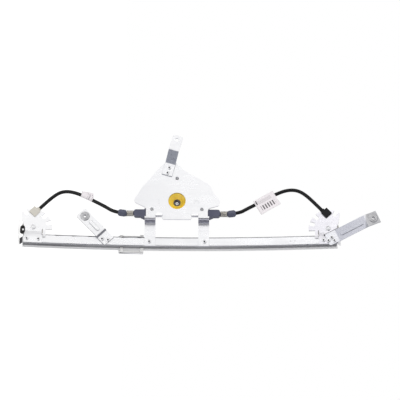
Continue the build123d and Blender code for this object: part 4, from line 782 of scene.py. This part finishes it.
# ---------------------------------------------------------------- stage
FLOOR_SIZE = 12.0
FLOOR_GAP = 1.0 * MM
FLOOR_GREY = 0.80
FLOOR_GLOW = 0.49  # brings the floor to white for the camera
WORLD_LIGHT = 0.74
LAMPS = {  # place, size, watts; they light what is dull and stay out of the metal's reflections
    "key": ((-2.4, -1.7, 0.9), 1.6, 25.0),
    "fill": ((2.3, -1.8, -0.3), 1.6, 21.0),
}
CARD_DISTANCE = 2.0
STANDING_CARDS = {  # bearings in degrees from and to, shade
    "back_card": (165, 235, (0.55, 0.555, 0.59)),
    "near_card": (-8, -36, (0.05, 0.05, 0.06)),
    "far_card": (-36, -84, (0.19, 0.195, 0.23)),
    "high_card": (84, 138, (0.12, 0.12, 0.13)),
}
LYING_CARDS = {  # height, half its width, y from and to, shade
    "floor_back_card": (cad_low.z, 1.2, 0.10, 1.7, (0.45, 0.45, 0.47)),
    "floor_near_card": (cad_low.z, 1.0, -0.92, -0.5, (0.22, 0.23, 0.27)),
    "floor_front_card": (cad_low.z, 1.0, -1.7, -0.92, (0.60, 0.61, 0.68)),
    "top_card": (1.6, 1.2, -0.8, 1.6, (0.42, 0.42, 0.45)),
}


def white_for_camera(tree, other, white=1.0):
    """Strength that is white to the camera, in reflections and through glass, and other elsewhere."""
    rays = tree.nodes.new("ShaderNodeLightPath").outputs
    seen = rays["Is Camera Ray"]
    for kind in ("Is Glossy Ray", "Is Transmission Ray"):
        both = tree.nodes.new("ShaderNodeMath")
        both.operation = "MAXIMUM"
        tree.links.new(seen, both.inputs[0])
        tree.links.new(rays[kind], both.inputs[1])
        seen = both.outputs[0]
    level = tree.nodes.new("ShaderNodeMapRange")
    level.inputs["To Min"].default_value = other
    level.inputs["To Max"].default_value = white
    tree.links.new(seen, level.inputs["Value"])
    return level.outputs["Result"]


def make_world():
    """White surroundings that light the object at a plain level."""
    world = bpy.data.worlds.new("studio")
    bpy.context.scene.world = world
    world.use_nodes = True
    background = world.node_tree.nodes["Background"]
    background.inputs["Color"].default_value = (1, 1, 1, 1)
    world.node_tree.links.new(white_for_camera(world.node_tree, WORLD_LIGHT), background.inputs["Strength"])


def make_floor():
    """Plain white floor under the lower end, which keeps the object's shadow."""
    mesh = bpy.data.meshes.new("floor")
    half = FLOOR_SIZE / 2
    height = cad_low.z - FLOOR_GAP
    mesh.from_pydata([(-half, -half, height), (half, -half, height), (half, half, height),
                      (-half, half, height)], [], [(0, 1, 2, 3)])
    floor = new_object("floor", mesh)
    material = bpy.data.materials.new("floor")
    material.use_nodes = True
    tree = material.node_tree
    shader = tree.nodes["Principled BSDF"]
    shader.inputs["Base Color"].default_value = (FLOOR_GREY, FLOOR_GREY, FLOOR_GREY, 1)
    shader.inputs["Roughness"].default_value = 0.9
    shader.inputs["Specular IOR Level"].default_value = 0.0
    shader.inputs["Emission Color"].default_value = (1, 1, 1, 1)
    tree.links.new(white_for_camera(tree, 0.0, FLOOR_GLOW), shader.inputs["Emission Strength"])
    mesh.materials.append(material)
    floor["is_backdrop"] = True


def soft_lamp(name, place, size, watts):
    """Round lamp aimed at the object."""
    lamp = bpy.data.lights.new(name, "AREA")
    lamp.shape = "DISK"
    lamp.size = size
    lamp.energy = watts
    holder = new_object(name, lamp)
    holder.location = place
    holder.visible_glossy = False
    holder.rotation_mode = "QUATERNION"
    holder.rotation_quaternion = (-Vector(place)).to_track_quat("-Z", "Y")


def card(name, corners, shade):
    """A dull card beside the object that only shows in its metal, as edges need in a white room."""
    mesh = bpy.data.meshes.new(name)
    mesh.from_pydata([Vector(corner) for corner in corners], [], [(0, 1, 2, 3)])
    holder = new_object(name, mesh)
    holder.visible_camera = False
    holder.visible_diffuse = False
    holder.visible_shadow = False
    holder.visible_transmission = False
    material = bpy.data.materials.new(name)
    material.use_nodes = True
    tree = material.node_tree
    glow = tree.nodes.new("ShaderNodeEmission")
    glow.inputs["Color"].default_value = (*shade, 1)
    tree.links.new(glow.outputs[0], tree.nodes["Material Output"].inputs["Surface"])
    mesh.materials.append(material)
    holder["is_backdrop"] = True


def standing_card(name, start, end, shade):
    """A card on its edge between two bearings, in degrees from -Y towards -X."""
    ends = [Vector((-math.sin(a), -math.cos(a), 0)) * CARD_DISTANCE for a in map(math.radians, (start, end))]
    up = Vector((0, 0, CARD_DISTANCE))
    card(name, [ends[0] - up, ends[1] - up, ends[1] + up, ends[0] + up], shade)


def lying_card(name, height, x, near, far, shade):
    """A level card over x to -x, between two values of y."""
    card(name, [(-x, near, height), (x, near, height), (x, far, height), (-x, far, height)], shade)


bpy.context.scene.view_settings.view_transform = "Standard"
make_camera()
for side in ("lower", "upper"):
    conduit(side)
    tension_spring(side)
flag_label()
tag_card()
housing_shell()
insert_disc()
sleeve_ends()
gusset()
for part in frame["record"]["subparts"]:
    dress(part["node"], part["material_slot"])
make_world()
make_floor()
for name, (place, size, watts) in LAMPS.items():
    soft_lamp(name, place, size, watts)
for name, values in STANDING_CARDS.items():
    standing_card(name, *values)
for name, values in LYING_CARDS.items():
    lying_card(name, *values)

size = {"cad": [list(cad_low), list(cad_high)]}
size["visual"] = [list(corner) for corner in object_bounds()]
